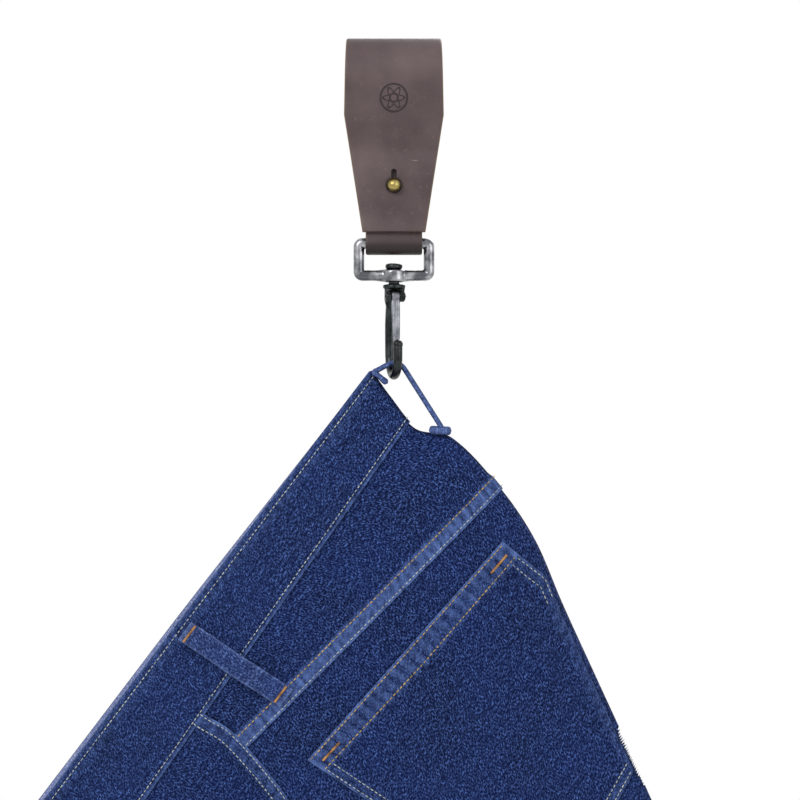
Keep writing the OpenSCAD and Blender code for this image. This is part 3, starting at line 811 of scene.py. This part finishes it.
def pocketRow(side, inset, first, last, where):
    t = np.linspace(first, last, 90)
    if where == "hem":
        a, b = t, np.full_like(t, inset / pocket["height"])
    elif where == "low":
        a, b = t, np.full_like(t, 1 - inset / pocket["height"])
    else:
        off = inset / pocket["width"]
        a, b = np.full_like(t, off if where == "right" else 1 - off), t
    c, v = pocketPlace(a, b)
    near = np.minimum(np.minimum(a, 1 - a) * pocket["width"], (1 - b) * pocket["height"])
    down = b * pocket["height"]
    raised = np.maximum(0.9 * (1 - smooth((down - pocket["hem"]) / 2)), 0.5 * (1 - smooth((near - 9) / 3)))
    puff = 1.6 * smooth(near / 50) * smooth(down / 30)
    return onCloth(c, v, 1.35 + raised + puff, side)


def makeStitches():
    gold, pale = [], []
    for side in (-1, 1):
        for inset, lines in ((1.8, pale), (9.2, gold)):       # yoke seam
            lines.append(rowLine(lambda t: t * 0.488, lambda t: yokeEdge(t * 0.488) + 1.5 - inset, 1.35, side))
        for inset in (1.8, 9.0):                               # side seam
            line = lambda t: bandEdge(0.49) + (jeans["length"] - 4 - bandEdge(0.49)) * t
            seam = lambda t: sideSeam(line(t)) + inset / np.linalg.norm(rowEnds(line(t)), axis=-1)
            pale.append(rowLine(seam, line, 1.45, side, 400))
        for inset in (2.4, 7.0):                               # mouth of the front pocket
            a = lambda t: 0.035 + t * 0.44
            v = lambda t: mouthEdge(a(t)) + inset
            gold.append(rowLine(lambda t: mix(sideSeam(v(t)), 1.0, a(t)), v, 1.35, side, 90))
        pale.append(rowLine(lambda t: t * 0.975, lambda t: 3.2 + 0 * t, 1.75, side, 150))
        pale.append(rowLine(lambda t: t * 0.975, lambda t: bandEdge(t * 0.975) - 2.0, 1.75, side, 150))
        gold.append(rowLine(lambda t: -0.49 + 1.98 * t, lambda t: jeans["length"] - 13 + 0 * t,
                            0.3, side, 200))
        for inset in (1.6, 13.0):
            gold.append(pocketRow(side, inset, 0.02, 0.985, "hem"))
        for inset in (2.0, 7.4):
            pale.append(pocketRow(side, inset, 0.1, 0.98, "left"))
            pale.append(pocketRow(side, inset, 0.03, 0.98, "low"))
            pale.append(pocketRow(side, inset, 0.1, 0.3, "right"))
    for offset in (0.0, 5.5):                                  # the curved rows of the fly
        gold.append(rowLine(lambda t: 0.99 - (0.083 - offset / 450) * (1 - t**4),
                            lambda t: mix(bandEdge(1), 200, t), 1.75, -1, 80))
    layStitches("goldStitches", gold, goldThread, 3.1, 2.5, 0.75, 0.5)
    layStitches("paleStitches", pale, paleThread, 3.1, 2.4, 0.7, 0.5)


# Bar tacks: satin stitches laid side by side across each stressed end
def makeTacks():
    bars = []
    def bar(c0, v0, c1, v1, lift, side):
        t = np.linspace(0, 1, 8)
        bars.append(onCloth(mix(c0, c1, t), mix(v0, v1, t), lift, side))
    for side in (-1, 1):
        for u, lean in ((202, -12), (345, 0)):
            for v, shift in ((10, 0.06), (78.5, 0.94)):
                middle = u + lean * shift
                bar(share(middle - 6, v), v, share(middle + 6, v), v, 4.6 if v > 40 else 5.1, side)
        for first, last in ((0.03, 0.11), (0.89, 0.97)):
            c0, v0 = pocketPlace(np.array(first), np.array(0.05))
            c1, v1 = pocketPlace(np.array(last), np.array(0.05))
            bar(c0, v0, c1, v1, 2.6, side)
    layStitches("barTacks", bars, tackThread, 0.62, 0.75, 1.9, 0.7)


makeStitches()
makeTacks()
print("stitches laid")


# Leather
# A strip along a path of (y, z) points, with rounded edges and a half width at each point
def ribbon(name, path, half, thick):
    path = np.asarray(path, float)
    tangent = np.gradient(path, axis=0)
    tangent /= np.linalg.norm(tangent, axis=1)[:, None]
    normal = np.stack([-tangent[:, 1], tangent[:, 0]], axis=1)
    r = min(1.3, thick * 0.42)
    corner = np.linspace(0, np.pi / 2, 5)
    flat = np.linspace(-1, 1, 41)
    section = [(u, thick / 2, 0) for u in flat[1:-1]]
    section += [(1, thick / 2 - r + r * np.cos(t), r * np.sin(t)) for t in corner]
    section += [(1, -thick / 2 + r - r * np.cos(t), r * np.sin(t)) for t in corner[::-1]]
    section += [(u, -thick / 2, 0) for u in flat[::-1][1:-1]]
    section += [(-1, -thick / 2 + r - r * np.cos(t), r * np.sin(t)) for t in corner]
    section += [(-1, thick / 2 - r + r * np.cos(t), r * np.sin(t)) for t in corner[::-1]]
    points, n = [], len(section)
    for i, (y, z) in enumerate(path):
        inset = 0.6 if i in (0, len(path) - 1) else 0
        for u, off, out in section:
            x = u * (half[i] - r) + np.sign(u) * out * (abs(u) == 1)
            off = off * (1 - inset * 0.3)
            points.append((x, y + normal[i, 0] * off, z + normal[i, 1] * off))
    faces = [(i * n + j, i * n + (j + 1) % n, (i + 1) * n + (j + 1) % n, (i + 1) * n + j)
             for i in range(len(path) - 1) for j in range(n)]
    faces += [tuple(range(n)), tuple(len(path) * n - n + j for j in range(n))[::-1]]
    obj = newObject(name, points, faces, leather)
    facesOutward(obj)
    return obj


def alongPath(knots, step=1.2):
    knots = np.asarray(knots, float)
    gaps = np.linalg.norm(np.diff(knots, axis=0), axis=1)
    s = np.concatenate([[0], np.cumsum(gaps)])
    dense = np.linspace(0, s[-1], int(s[-1] / step) + 2)
    return np.stack([np.interp(dense, s, knots[:, k]) for k in (0, 1)], axis=1)


def softened(path, rounds=6):
    path = path.copy()
    for _ in range(rounds):
        path[1:-1] = path[1:-1] * 0.5 + (path[:-2] + path[2:]) * 0.25
    return path


strap = {"half": 31.2, "shoulder": 31.9, "shoulderZ": -26.5, "tip": 20.3, "drop": -101.0, "foldHalf": 18.2,
         "thick": 4.0, "loop": 22.0, "keyTop": -60.6, "keyHole": -71.2, "slot": 1.75, "hole": 5.1,
         "fold": 5.75, "foldZ": -107.9, "foldTop": -92.9, "leaf": 2}


def halfWidth(z):
    return np.interp(z, [strap["drop"], strap["shoulderZ"], strap["loop"]],
                     [strap["tip"], strap["shoulder"], strap["half"] - 0.6])


def arc(first, last, radius, y=0.0, z=0.0, steps=24):
    t = np.radians(np.linspace(first, last, steps))
    return [(y + radius * np.cos(k), z + radius * np.sin(k)) for k in t]


# Tan shows on the cut edges, and painted shade darkens the leather where it is pressed or folded
def paintLeather(obj, halfAt, dark):
    mesh = obj.data
    place = np.empty(len(mesh.vertices) * 3)
    mesh.vertices.foreach_get("co", place)
    x, y, z = place.reshape(-1, 3).T / mm
    edge = smooth((np.abs(x) - halfAt(z) + 0.9) / 0.8) * 0.75
    for key, value in (("edge", edge), ("shade", dark(x, y, z))):
        layer = mesh.attributes.new(key, "FLOAT", "POINT")
        layer.data.foreach_set("value", np.clip(value, 0, 1).astype(np.float32))


def soften(obj, angle=45):
    obj.data.shade_smooth()
    obj.data.set_sharp_from_angle(angle=math.radians(angle))


def makeStrap():
    over = arc(90, -23.8, strap["loop"], steps=40)
    fold = strap["fold"]
    leaf, top = strap["leaf"], strap["foldTop"]
    back = alongPath([over[-1], (leaf, -50), (leaf, top), (fold, strap["foldZ"])])
    turn = arc(0, -180, fold, 0, strap["foldZ"])
    path = np.array(over + back[1:-1].tolist() + turn
                    + alongPath([turn[-1], (-leaf, top), (-leaf, -58)])[1:].tolist())
    path = softened(path)
    first = len(over) + len(back) - 12
    half = np.where(np.arange(len(path)) < first, halfWidth(path[:, 1]), strap["foldHalf"])
    half = np.convolve(np.pad(half, 4, mode="edge"), np.ones(9) / 9, mode="valid")
    obj = ribbon("strapLeather", path, half, strap["thick"])
    # painted shade: the front of the fold below the flap tip is darkened
    foldShade = lambda x, y, z: (0.85 * smooth((-104 - z) / 9) + 0.35 * smooth((-98 - z) / 4)) * (y < 8)
    paintLeather(obj, lambda z: np.where(z < -96, strap["foldHalf"], halfWidth(z)), foldShade)
    soften(obj)
    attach(obj, "strap")
    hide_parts("strap_body")


# The flap: from the top of the loop down the front, with a keyhole that buttons over the stud
def makeFlap():
    over = arc(90, 199.6, strap["loop"], steps=40)
    front = alongPath([over[-1], (-6.3, -48), (-6.3, -90.9), (-8.5, -101)])
    path = softened(np.array(over + front[1:].tolist()))
    obj = ribbon("flapLeather", path, halfWidth(path[:, 1]), strap["thick"])
    bpy.ops.mesh.primitive_cylinder_add(vertices=48, radius=strap["hole"] * mm, depth=0.03,
                                        location=(0, -0.0075, strap["keyHole"] * mm),
                                        rotation=(math.pi / 2, 0, 0))
    hole = bpy.context.active_object
    outline = [(strap["slot"] * math.cos(t), strap["keyTop"] - strap["slot"] + strap["slot"] * math.sin(t))
               for t in np.linspace(0, math.pi, 17)]
    outline += [(-strap["slot"], strap["keyHole"]), (strap["slot"], strap["keyHole"])]
    n = len(outline)
    points = [(x, y, z) for y in (-22.6, 7.4) for x, z in outline]
    faces = [tuple(range(n)), tuple(range(2 * n - 1, n - 1, -1))]
    faces += [(i, (i + 1) % n, n + (i + 1) % n, n + i) for i in range(n)]
    slit = newObject("slit", points, faces, leather)
    facesOutward(slit)
    for cutter in (hole, slit):
        cut = obj.modifiers.new("cut", "BOOLEAN")
        cut.object = cutter
        cut.operation = "DIFFERENCE"
        cut.solver = "EXACT"
    bpy.context.view_layer.update()
    pierced = bpy.data.meshes.new_from_object(obj.evaluated_get(bpy.context.evaluated_depsgraph_get()))
    obj.modifiers.clear()
    obj.data = pierced
    for cutter in (hole, slit):
        bpy.data.objects.remove(cutter)
    # painted shade round the rim of the keyhole, where the stud sits in it
    def dark(x, y, z):
        return 0.6 * np.exp(-((np.hypot(x, z - strap["keyHole"]) - strap["hole"]) / 0.9)**2)
    paintLeather(obj, halfWidth, dark)
    soften(obj)
    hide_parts("strap_flap")
    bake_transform(obj)


makeStrap()
makeFlap()
print("leather made")


# The belt loop at the centre back carries the weight: a folded strip drawn tight over the hook
backLoop = {"eye": (0.0, -193.0), "radius": 7.9, "upper": (-12.9, -191.0), "lower": (31.7, -228.2),
            "tail": (-3.9, -198.2), "thick": 3.4, "width": 13.0,
            "tuck": ((22.5, -228.3), (37.1, -229.0)), "tuckThick": 5.6, "tuckWidth": 13.4,
            "flatWidth": 0.032, "tuckFlatWidth": 0.016}


def tangentPoint(outside, side):
    gap = np.array(outside) - np.array(backLoop["eye"])
    far = math.hypot(*gap)
    return math.atan2(gap[1], gap[0]) + side * math.acos(backLoop["radius"] / far)


# Faces between rings of points, with an end cap on each end unless the rings join up
def ringFaces(rings, sides, closed=False):
    faces = [(i * sides + k, i * sides + (k + 1) % sides,
              (i + 1) % rings * sides + (k + 1) % sides, (i + 1) % rings * sides + k)
             for i in range(rings if closed else rings - 1) for k in range(sides)]
    if not closed:
        faces += [tuple(range(sides)), tuple((rings - 1) * sides + k for k in range(sides))[::-1]]
    return faces


def strip(name, path, thick, width, material, wear, sides=28):
    path = np.asarray(path, float)
    tangent = np.gradient(path, axis=0)
    tangent /= np.linalg.norm(tangent, axis=1)[:, None]
    gone = np.concatenate([[0], np.cumsum(np.linalg.norm(np.diff(path, axis=0), axis=1))])
    t = np.linspace(0, 2 * np.pi, sides, endpoint=False)
    up = np.sign(np.cos(t)) * np.abs(np.cos(t))**0.7 * 0.5
    out = np.sign(np.sin(t)) * np.abs(np.sin(t))**0.6 * 0.5
    points, cloth, faded = [], [], []
    for i, (x, z) in enumerate(path):
        end = min(i, len(path) - 1 - i)
        close = math.sqrt(1 - (1 - min(end / 3, 1))**2) * 0.9 + 0.1
        for k in range(sides):
            off = up[k] * thick[i] * close
            points.append((x - tangent[i, 1] * off, out[k] * width[i] * close, z + tangent[i, 0] * off))
            cloth.append((gone[i] * mm, (out[k] * width[i] + 3 * up[k]) * mm))
            faded.append(wear * (0.3 + 0.7 * abs(2 * out[k])**6 + 0.35 * (abs(out[k]) < 0.3)))
    n = len(path)
    obj = newObject(name, points, ringFaces(n, sides), material)
    facesOutward(obj)
    layer = obj.data.uv_layers.new(name="cloth")
    for loop in obj.data.loops:
        layer.data[loop.index].uv = cloth[loop.vertex_index]
    shade = obj.data.attributes.new("wear", "FLOAT", "POINT")
    shade.data.foreach_set("value", np.array(faded, np.float32))
    return obj


def makeBackLoop():
    first, last = tangentPoint(backLoop["upper"], -1), tangentPoint(backLoop["lower"], 1)
    eye = backLoop["eye"]
    if first < last:
        first += 2 * math.pi
    over = [(eye[0] + backLoop["radius"] * math.cos(t), eye[1] + backLoop["radius"] * math.sin(t))
            for t in np.linspace(first, last, 20)]
    knot = backLoop["upper"]
    path = alongPath([backLoop["tail"], (-6.6, -196.4), (-10.2, -193.0), (knot[0] - 0.6, knot[1] - 0.3), knot,
                      *over, backLoop["lower"]], step=1.0)
    path = softened(path, 3)
    s = np.linspace(0, 1, len(path))
    bulb = np.exp(-(s / 0.05)**2)
    crease = np.exp(-((s - 0.15) / 0.025)**2)
    thick = backLoop["thick"] + 1.3 * bulb + 0.5 * crease
    width = backLoop["width"] * (1 - 0.06 * crease)
    loop = strip("backBeltLoop", path, thick, width, fadedIndigo, 0.4)
    (x0, z0), (x1, z1) = backLoop["tuck"]
    steps = 22
    tuck = strip("backLoopTuck", np.stack([np.linspace(x0, x1, steps), np.linspace(z0, z1, steps)], 1),
                 np.full(steps, backLoop["tuckThick"]), np.full(steps, backLoop["tuckWidth"]),
                 fadedIndigo, 0.5)
    for obj, nodes in ((loop, ("back_belt_loop",)), (tuck, ())):
        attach(obj, "jeans")
        if nodes:
            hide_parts(*nodes)


makeBackLoop()
print("back loop made")


# Metal
def tube(name, path, radii, material, sides=20, closed=False):
    path = [Vector(p) for p in path]
    n, points = len(path), []
    frameX = None
    for i, p in enumerate(path):
        ahead = path[(i + 1) % n] if closed or i + 1 < n else p
        behind = path[i - 1] if closed or i else p
        along = (ahead - behind).normalized()
        if frameX is None:
            frameX = along.orthogonal().normalized()
        frameX = (frameX - along * frameX.dot(along)).normalized()
        other = along.cross(frameX)
        r = float(radii[i] if hasattr(radii, "__len__") else radii)
        for k in range(sides):
            t = 2 * math.pi * k / sides
            points.append(tuple(p + r * (math.cos(t) * frameX + math.sin(t) * other)))
    obj = newObject(name, points, ringFaces(n, sides, closed), material)
    facesOutward(obj)
    return obj


def turned(name, profile, axis, centre, material, sides=48):
    axis, centre = Vector(axis).normalized(), Vector(centre)
    a = axis.orthogonal().normalized()
    b = axis.cross(a)
    points = [tuple(centre + axis * h + r * (math.cos(t) * a + math.sin(t) * b))
              for r, h in profile for t in (2 * math.pi * k / sides for k in range(sides))]
    obj = newObject(name, points, ringFaces(len(profile), sides), material)
    facesOutward(obj)
    return obj


# One cast piece from several shapes: fused by remeshing and smoothed, so the joins are filleted
def cast(name, shapes, body, nodes, material, voxel=0.4, rounds=6, cutters=()):
    joined = bmesh.new()
    for shape in shapes:
        joined.from_mesh(shape.data)
    mesh = bpy.data.meshes.new(name)
    joined.to_mesh(mesh)
    joined.free()
    for shape in shapes:
        bpy.data.objects.remove(shape)
    obj = bpy.data.objects.new(name, mesh)
    bpy.context.scene.collection.objects.link(obj)
    remesh = obj.modifiers.new("fuse", "REMESH")
    remesh.mode = "VOXEL"
    remesh.voxel_size = voxel * mm
    for cutter in cutters:
        cut = obj.modifiers.new("cut", "BOOLEAN")
        cut.object, cut.operation, cut.solver = cutter, "DIFFERENCE", "EXACT"
    relax = obj.modifiers.new("relax", "SMOOTH")
    relax.factor, relax.iterations = 0.5, rounds
    bpy.context.view_layer.update()
    done = bpy.data.meshes.new_from_object(obj.evaluated_get(bpy.context.evaluated_depsgraph_get()))
    obj.modifiers.clear()
    obj.data = done
    for cutter in cutters:
        bpy.data.objects.remove(cutter)
    done.materials.clear()
    done.materials.append(material)
    done.shade_smooth()
    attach(obj, body)
    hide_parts(*nodes)
    return obj


ring = {
    "x": 22.6, "top": -107.9, "low": -128.7, "bar": 3.5, "corner": 2.4,
    "boss": [(5.9, -4), (7.3, -3.4), (7.5, -2), (7.5, 2), (7.3, 3.4), (5.9, 4)], "bossZ": -128.9,
    "bore": [(3.8, -8), (3.8, 8)],
    "flare": 13, "flareRise": 1.5, "flareSpread": 7.5,
}


def makeRing():
    path = []
    for cx, cz, start in ((1, 1, 0), (-1, 1, 90), (-1, -1, 180), (1, -1, 270)):
        x = cx * (ring["x"] - ring["corner"])
        z = (ring["top"] if cz > 0 else ring["low"]) - cz * ring["corner"]
        for t in np.radians(np.linspace(start, start + 90, 10)):
            path.append((x + ring["corner"] * math.cos(t), 0, z + ring["corner"] * math.sin(t)))
    square = []
    for i, p in enumerate(path):
        q = path[(i + 1) % len(path)]
        steps = max(1, int(math.dist(p, q) / 2))
        square += [tuple(p[k] + (q[k] - p[k]) * j / steps for k in range(3)) for j in range(steps)]
    bar = tube("ringBar", square, ring["bar"], nickel, 20, closed=True)
    middle = (0, 0, ring["bossZ"])
    boss = turned("boss", ring["boss"], (0, 0, 1), middle, nickel)
    across = np.linspace(-ring["flare"], ring["flare"], 27)
    swell = [ring["bar"] - 0.1 + ring["flareRise"] * math.exp(-(x / ring["flareSpread"])**2) for x in across]
    flare = tube("flare", [(x, 0, ring["low"] - 0.1) for x in across], swell, nickel)
    bore = turned("bore", ring["bore"], (0, 0, 1), middle, nickel)
    cast("ringCasting", [bar, boss, flare], "ring", ("swivel_ring",), nickel,
         cutters=(bore,))


hook = {
    "turn": math.radians(12), "bowlZ": -180.5, "bowl": 12.5, "noseY": -12.2, "noseZ": -173.9,
    "spine": [(0, 4.4, -137.5), (0, 7.0, -143.5), (0, 10.2, -151.5), (0, 12.2, -160), (0, 12.5, -168)],
    "nose": [(0.6, -3.3), (2.2, -2.5), (3.2, -0.9), (3.3, 0.8), (2.4, 2.5), (0.6, 3.3)],
    "flange": [(5.0, -1.5), (7.0, -1.1), (7.2, 0), (7.0, 1.1), (5.0, 1.5)], "flangeZ": -135.9,
    "ear": [(4.3, -1.5, -135.5), (4.4, -2.6, -139), (4.3, -4, -142.4), (4.0, -4, -145.8)],
    "cheek": [(3.9, 0.5, -136), (3.6, 3.4, -144), (2.2, 7, -149)],
    "neck": [(3.5, -2), (3.5, 12.0)], "neckZ": -136,
    "head": [(4.4, -1.5), (5.4, -1.1), (5.6, 0.4), (5.2, 1.5), (3.4, 2.1), (0.5, 2.2)], "headZ": -123.0,
    "pin": [(1.5, -6.5), (2.7, -6.3), (3.0, -5.9), (3.0, -5.4), (1.8, -5.1),
            (1.8, 5.1), (3.0, 5.4), (3.0, 5.9), (2.7, 6.3), (1.5, 6.5)], "pinY": -4, "pinZ": -142.4,
    "coil": 2.5, "coilLength": 4.8, "coilTurns": 4, "coilWire": 0.35,
}


def swing(x, y, z):
    c, s = math.cos(hook["turn"]), math.sin(hook["turn"])
    return (x * c - y * s, x * s + y * c, z)


def makeHook():
    bowl, low, up = hook["bowl"], hook["bowlZ"], (0, 0, 1)
    wire = hook["spine"] + [(0, bowl, low)]
    wire += [(0, bowl * math.cos(t), low + bowl * math.sin(t)) for t in np.linspace(0, -math.pi, 26)[1:]]
    wire += [(0, -bowl, hook["noseZ"] - 2), (0, hook["noseY"], hook["noseZ"])]
    radii = np.interp(np.arange(len(wire)), [0, 4, 6, len(wire) - 1], [3.6, 3.3, 3.1, 2.9])
    shapes = [tube("wire", [swing(*p) for p in wire], radii, gunmetal, 20)]
    shapes.append(turned("nose", hook["nose"], up, swing(0, hook["noseY"], hook["noseZ"] + 0.4), gunmetal, 24))
    shapes.append(turned("flange", hook["flange"], up, (0, 0, hook["flangeZ"]), gunmetal))
    for side in (-1, 1):
        for name, radii in (("ear", [3.0, 2.0, 2.9, 1.6]), ("cheek", [2.2, 2.0, 1.6])):
            path = [swing(side * x, y, z) for x, y, z in hook[name]]
            shapes.append(tube(name, path, radii, gunmetal, 16))
    shapes.append(turned("neck", hook["neck"], up, (0, 0, hook["neckZ"]), gunmetal, 32))
    shapes.append(turned("head", hook["head"], up, (0, 0, hook["headZ"]), gunmetal, 40))
    pinAt = (0, hook["pinY"], hook["pinZ"])
    shapes.append(turned("pin", hook["pin"], swing(1, 0, 0), swing(*pinAt), gunmetal, 24))
    cast("hookCasting", shapes, "hook", ("hook_body", "swivel_pin", "gate_pin"), gunmetal,
         voxel=0.32, rounds=5)
    coil = []
    for t in np.linspace(0, 1, 90):
        angle = 2 * math.pi * hook["coilTurns"] * t
        coil.append(swing(hook["coilLength"] * (t - 0.5), hook["pinY"] + hook["coil"] * math.cos(angle),
                          hook["pinZ"] + hook["coil"] * math.sin(angle)))
    spring = tube("gateSpring", coil, hook["coilWire"], gateSteel, 8)
    spring.data.shade_smooth()
    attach(spring, "hook")
    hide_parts("gate_spring")


gate = {"start": (-4.0, -142.4), "end": (-7.6, -172.0), "wires": (-1.35, 0, 1.35), "taper": 0.25, "bow": -0.5,
        "barrel": [(2.0, -2.6), (2.9, -2.3), (3.1, 0), (2.9, 2.3), (2.0, 2.6)]}


def makeGate():
    start, end = np.array(gate["start"]), np.array(gate["end"])
    t = np.linspace(0, 1, 30)
    shapes = []
    for x in gate["wires"]:
        path = [swing(x * (1 - gate["taper"] * k),
                      *(start + (end - start) * k + np.array([gate["bow"] * math.sin(math.pi * k), 0])))
                for k in t]
        radii = np.interp(t, [0, 0.1, 0.5, 1], [1.8, 1.65, 1.5, 1.25])
        shapes.append(tube("bar", path, radii, gateSteel, 14))
    shapes.append(turned("barrel", gate["barrel"], swing(1, 0, 0), swing(0, *start), gateSteel, 28))
    cast("gateTongue", shapes, "gate", ("gate",), gateSteel, voxel=0.3, rounds=3)


stud = {"centre": (0, -12.55, -71.2),
        "knob": [(0.3, 4.35), (1.7, 4.0), (3.1, 3.1), (4.05, 1.6), (4.35, 0), (4.05, -1.6), (3.1, -3.1),
                 (2.3, -3.8), (2.2, -5.2), (3.4, -5.6), (3.6, -6.4)]}


def makeStud():
    knob = turned("studKnob", stud["knob"], (0, -1, 0), stud["centre"], brass, 40)
    knob.data.shade_smooth()
    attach(knob, "strap")
    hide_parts("stud_ball")


buttons = {
    "cap": [(3, -0.6), (3, 1.5), (8.2, 1.5), (8.6, 1.9), (8.6, 2.7), (8.2, 3.2), (7.3, 3.4), (6.6, 3.0),
            (5.6, 2.8), (4.4, 3.1), (2.5, 3.3), (0.4, 3.35)], "capAt": (0.95, 24),
    "dome": [(4.2, -0.2), (4.3, 0.4), (3.9, 0.9), (3.2, 1.1), (2.3, 1.0), (1.6, 1.3), (0.9, 1.7), (0.2, 1.8)],
    "domesAt": ((0.515, 136), (0.73, 60)),
}


# A shank button at the end of the waistband and domed rivets at the mouths of the pockets
def makeButtons():
    def stand(name, c, v, profile, side, material):
        root, tip = onCloth(np.array(c), np.array(v), 0.4, side), onCloth(np.array(c), np.array(v), 1.4, side)
        return turned(name, profile, tip - root, root, material, 40)
    shapes = [stand("waistButton", *buttons["capAt"], buttons["cap"], -1, brass)]
    for side in (-1, 1):
        for c, v in buttons["domesAt"]:
            shapes.append(stand("pocketRivet", c, v, buttons["dome"], side, copper))
    for i, obj in enumerate(shapes):
        obj.data.shade_smooth()
        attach(obj, "jeans")
        if i < 2:
            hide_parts("waist_button" if i == 0 else "rivets")


makeRing()
makeHook()
makeButtons()
makeGate()
makeStud()
print("metal made")


# Camera, light and floor
view = {"lookAt": (3.9, -209.0), "distance": 1600.0, "field": 516.0, "sensor": 36.0, "reach": 20.0}
studio = {
    "floor": 8, "gap": 0.06, "paint": "#f4f4f2", "paintRoughness": 0.8, "sky": (1.0, 1.0, 1.0, 1),
    "aim": (0, 0, -0.3), "lampSize": 1.2,
    "lamps": (("key", (-1.1, -1.6, 0.9), 26.0), ("fill", (1.5, -1.4, 0.1), 9.0),
              ("back", (0.6, 1.8, 0.9), 16.0)),
}


def makeStage():
    low = cadBox[0][2]
    bpy.ops.mesh.primitive_plane_add(size=studio["floor"], location=(0, 0, low - studio["gap"]))
    floor = bpy.context.active_object
    floor.name = "paleFloor"
    material, tree, shader = newMaterial("palePaint")
    shader.inputs["Base Color"].default_value = colour(studio["paint"])
    shader.inputs["Roughness"].default_value = studio["paintRoughness"]
    floor.data.materials.append(material)
    scene = bpy.context.scene
    world = bpy.data.worlds.new("studio")
    world.use_nodes = True
    world.node_tree.nodes["Background"].inputs[0].default_value = studio["sky"]
    world.node_tree.nodes["Background"].inputs[1].default_value = 1.0
    scene.world = world
    scene.view_settings.view_transform = "Standard"
    camera = bpy.data.cameras.new("camera")
    camera.sensor_width = view["sensor"]
    camera.lens = view["sensor"] * view["distance"] / view["field"]
    camera.clip_end = view["reach"]
    eye = bpy.data.objects.new("camera", camera)
    eye.location = (view["lookAt"][0] * mm, -view["distance"] * mm, view["lookAt"][1] * mm)
    eye.rotation_euler = (math.pi / 2, 0, 0)
    scene.collection.objects.link(eye)
    scene.camera = eye
    for name, place, power in studio["lamps"]:
        lamp = bpy.data.lights.new(name, "AREA")
        lamp.shape = "DISK"
        lamp.size = studio["lampSize"]
        lamp.energy = power
        light = bpy.data.objects.new(name, lamp)
        light.location = place
        aim = Vector(studio["aim"]) - Vector(place)
        light.rotation_euler = aim.to_track_quat("-Z", "Y").to_euler()
        scene.collection.objects.link(light)


makeStage()
print("stage made")
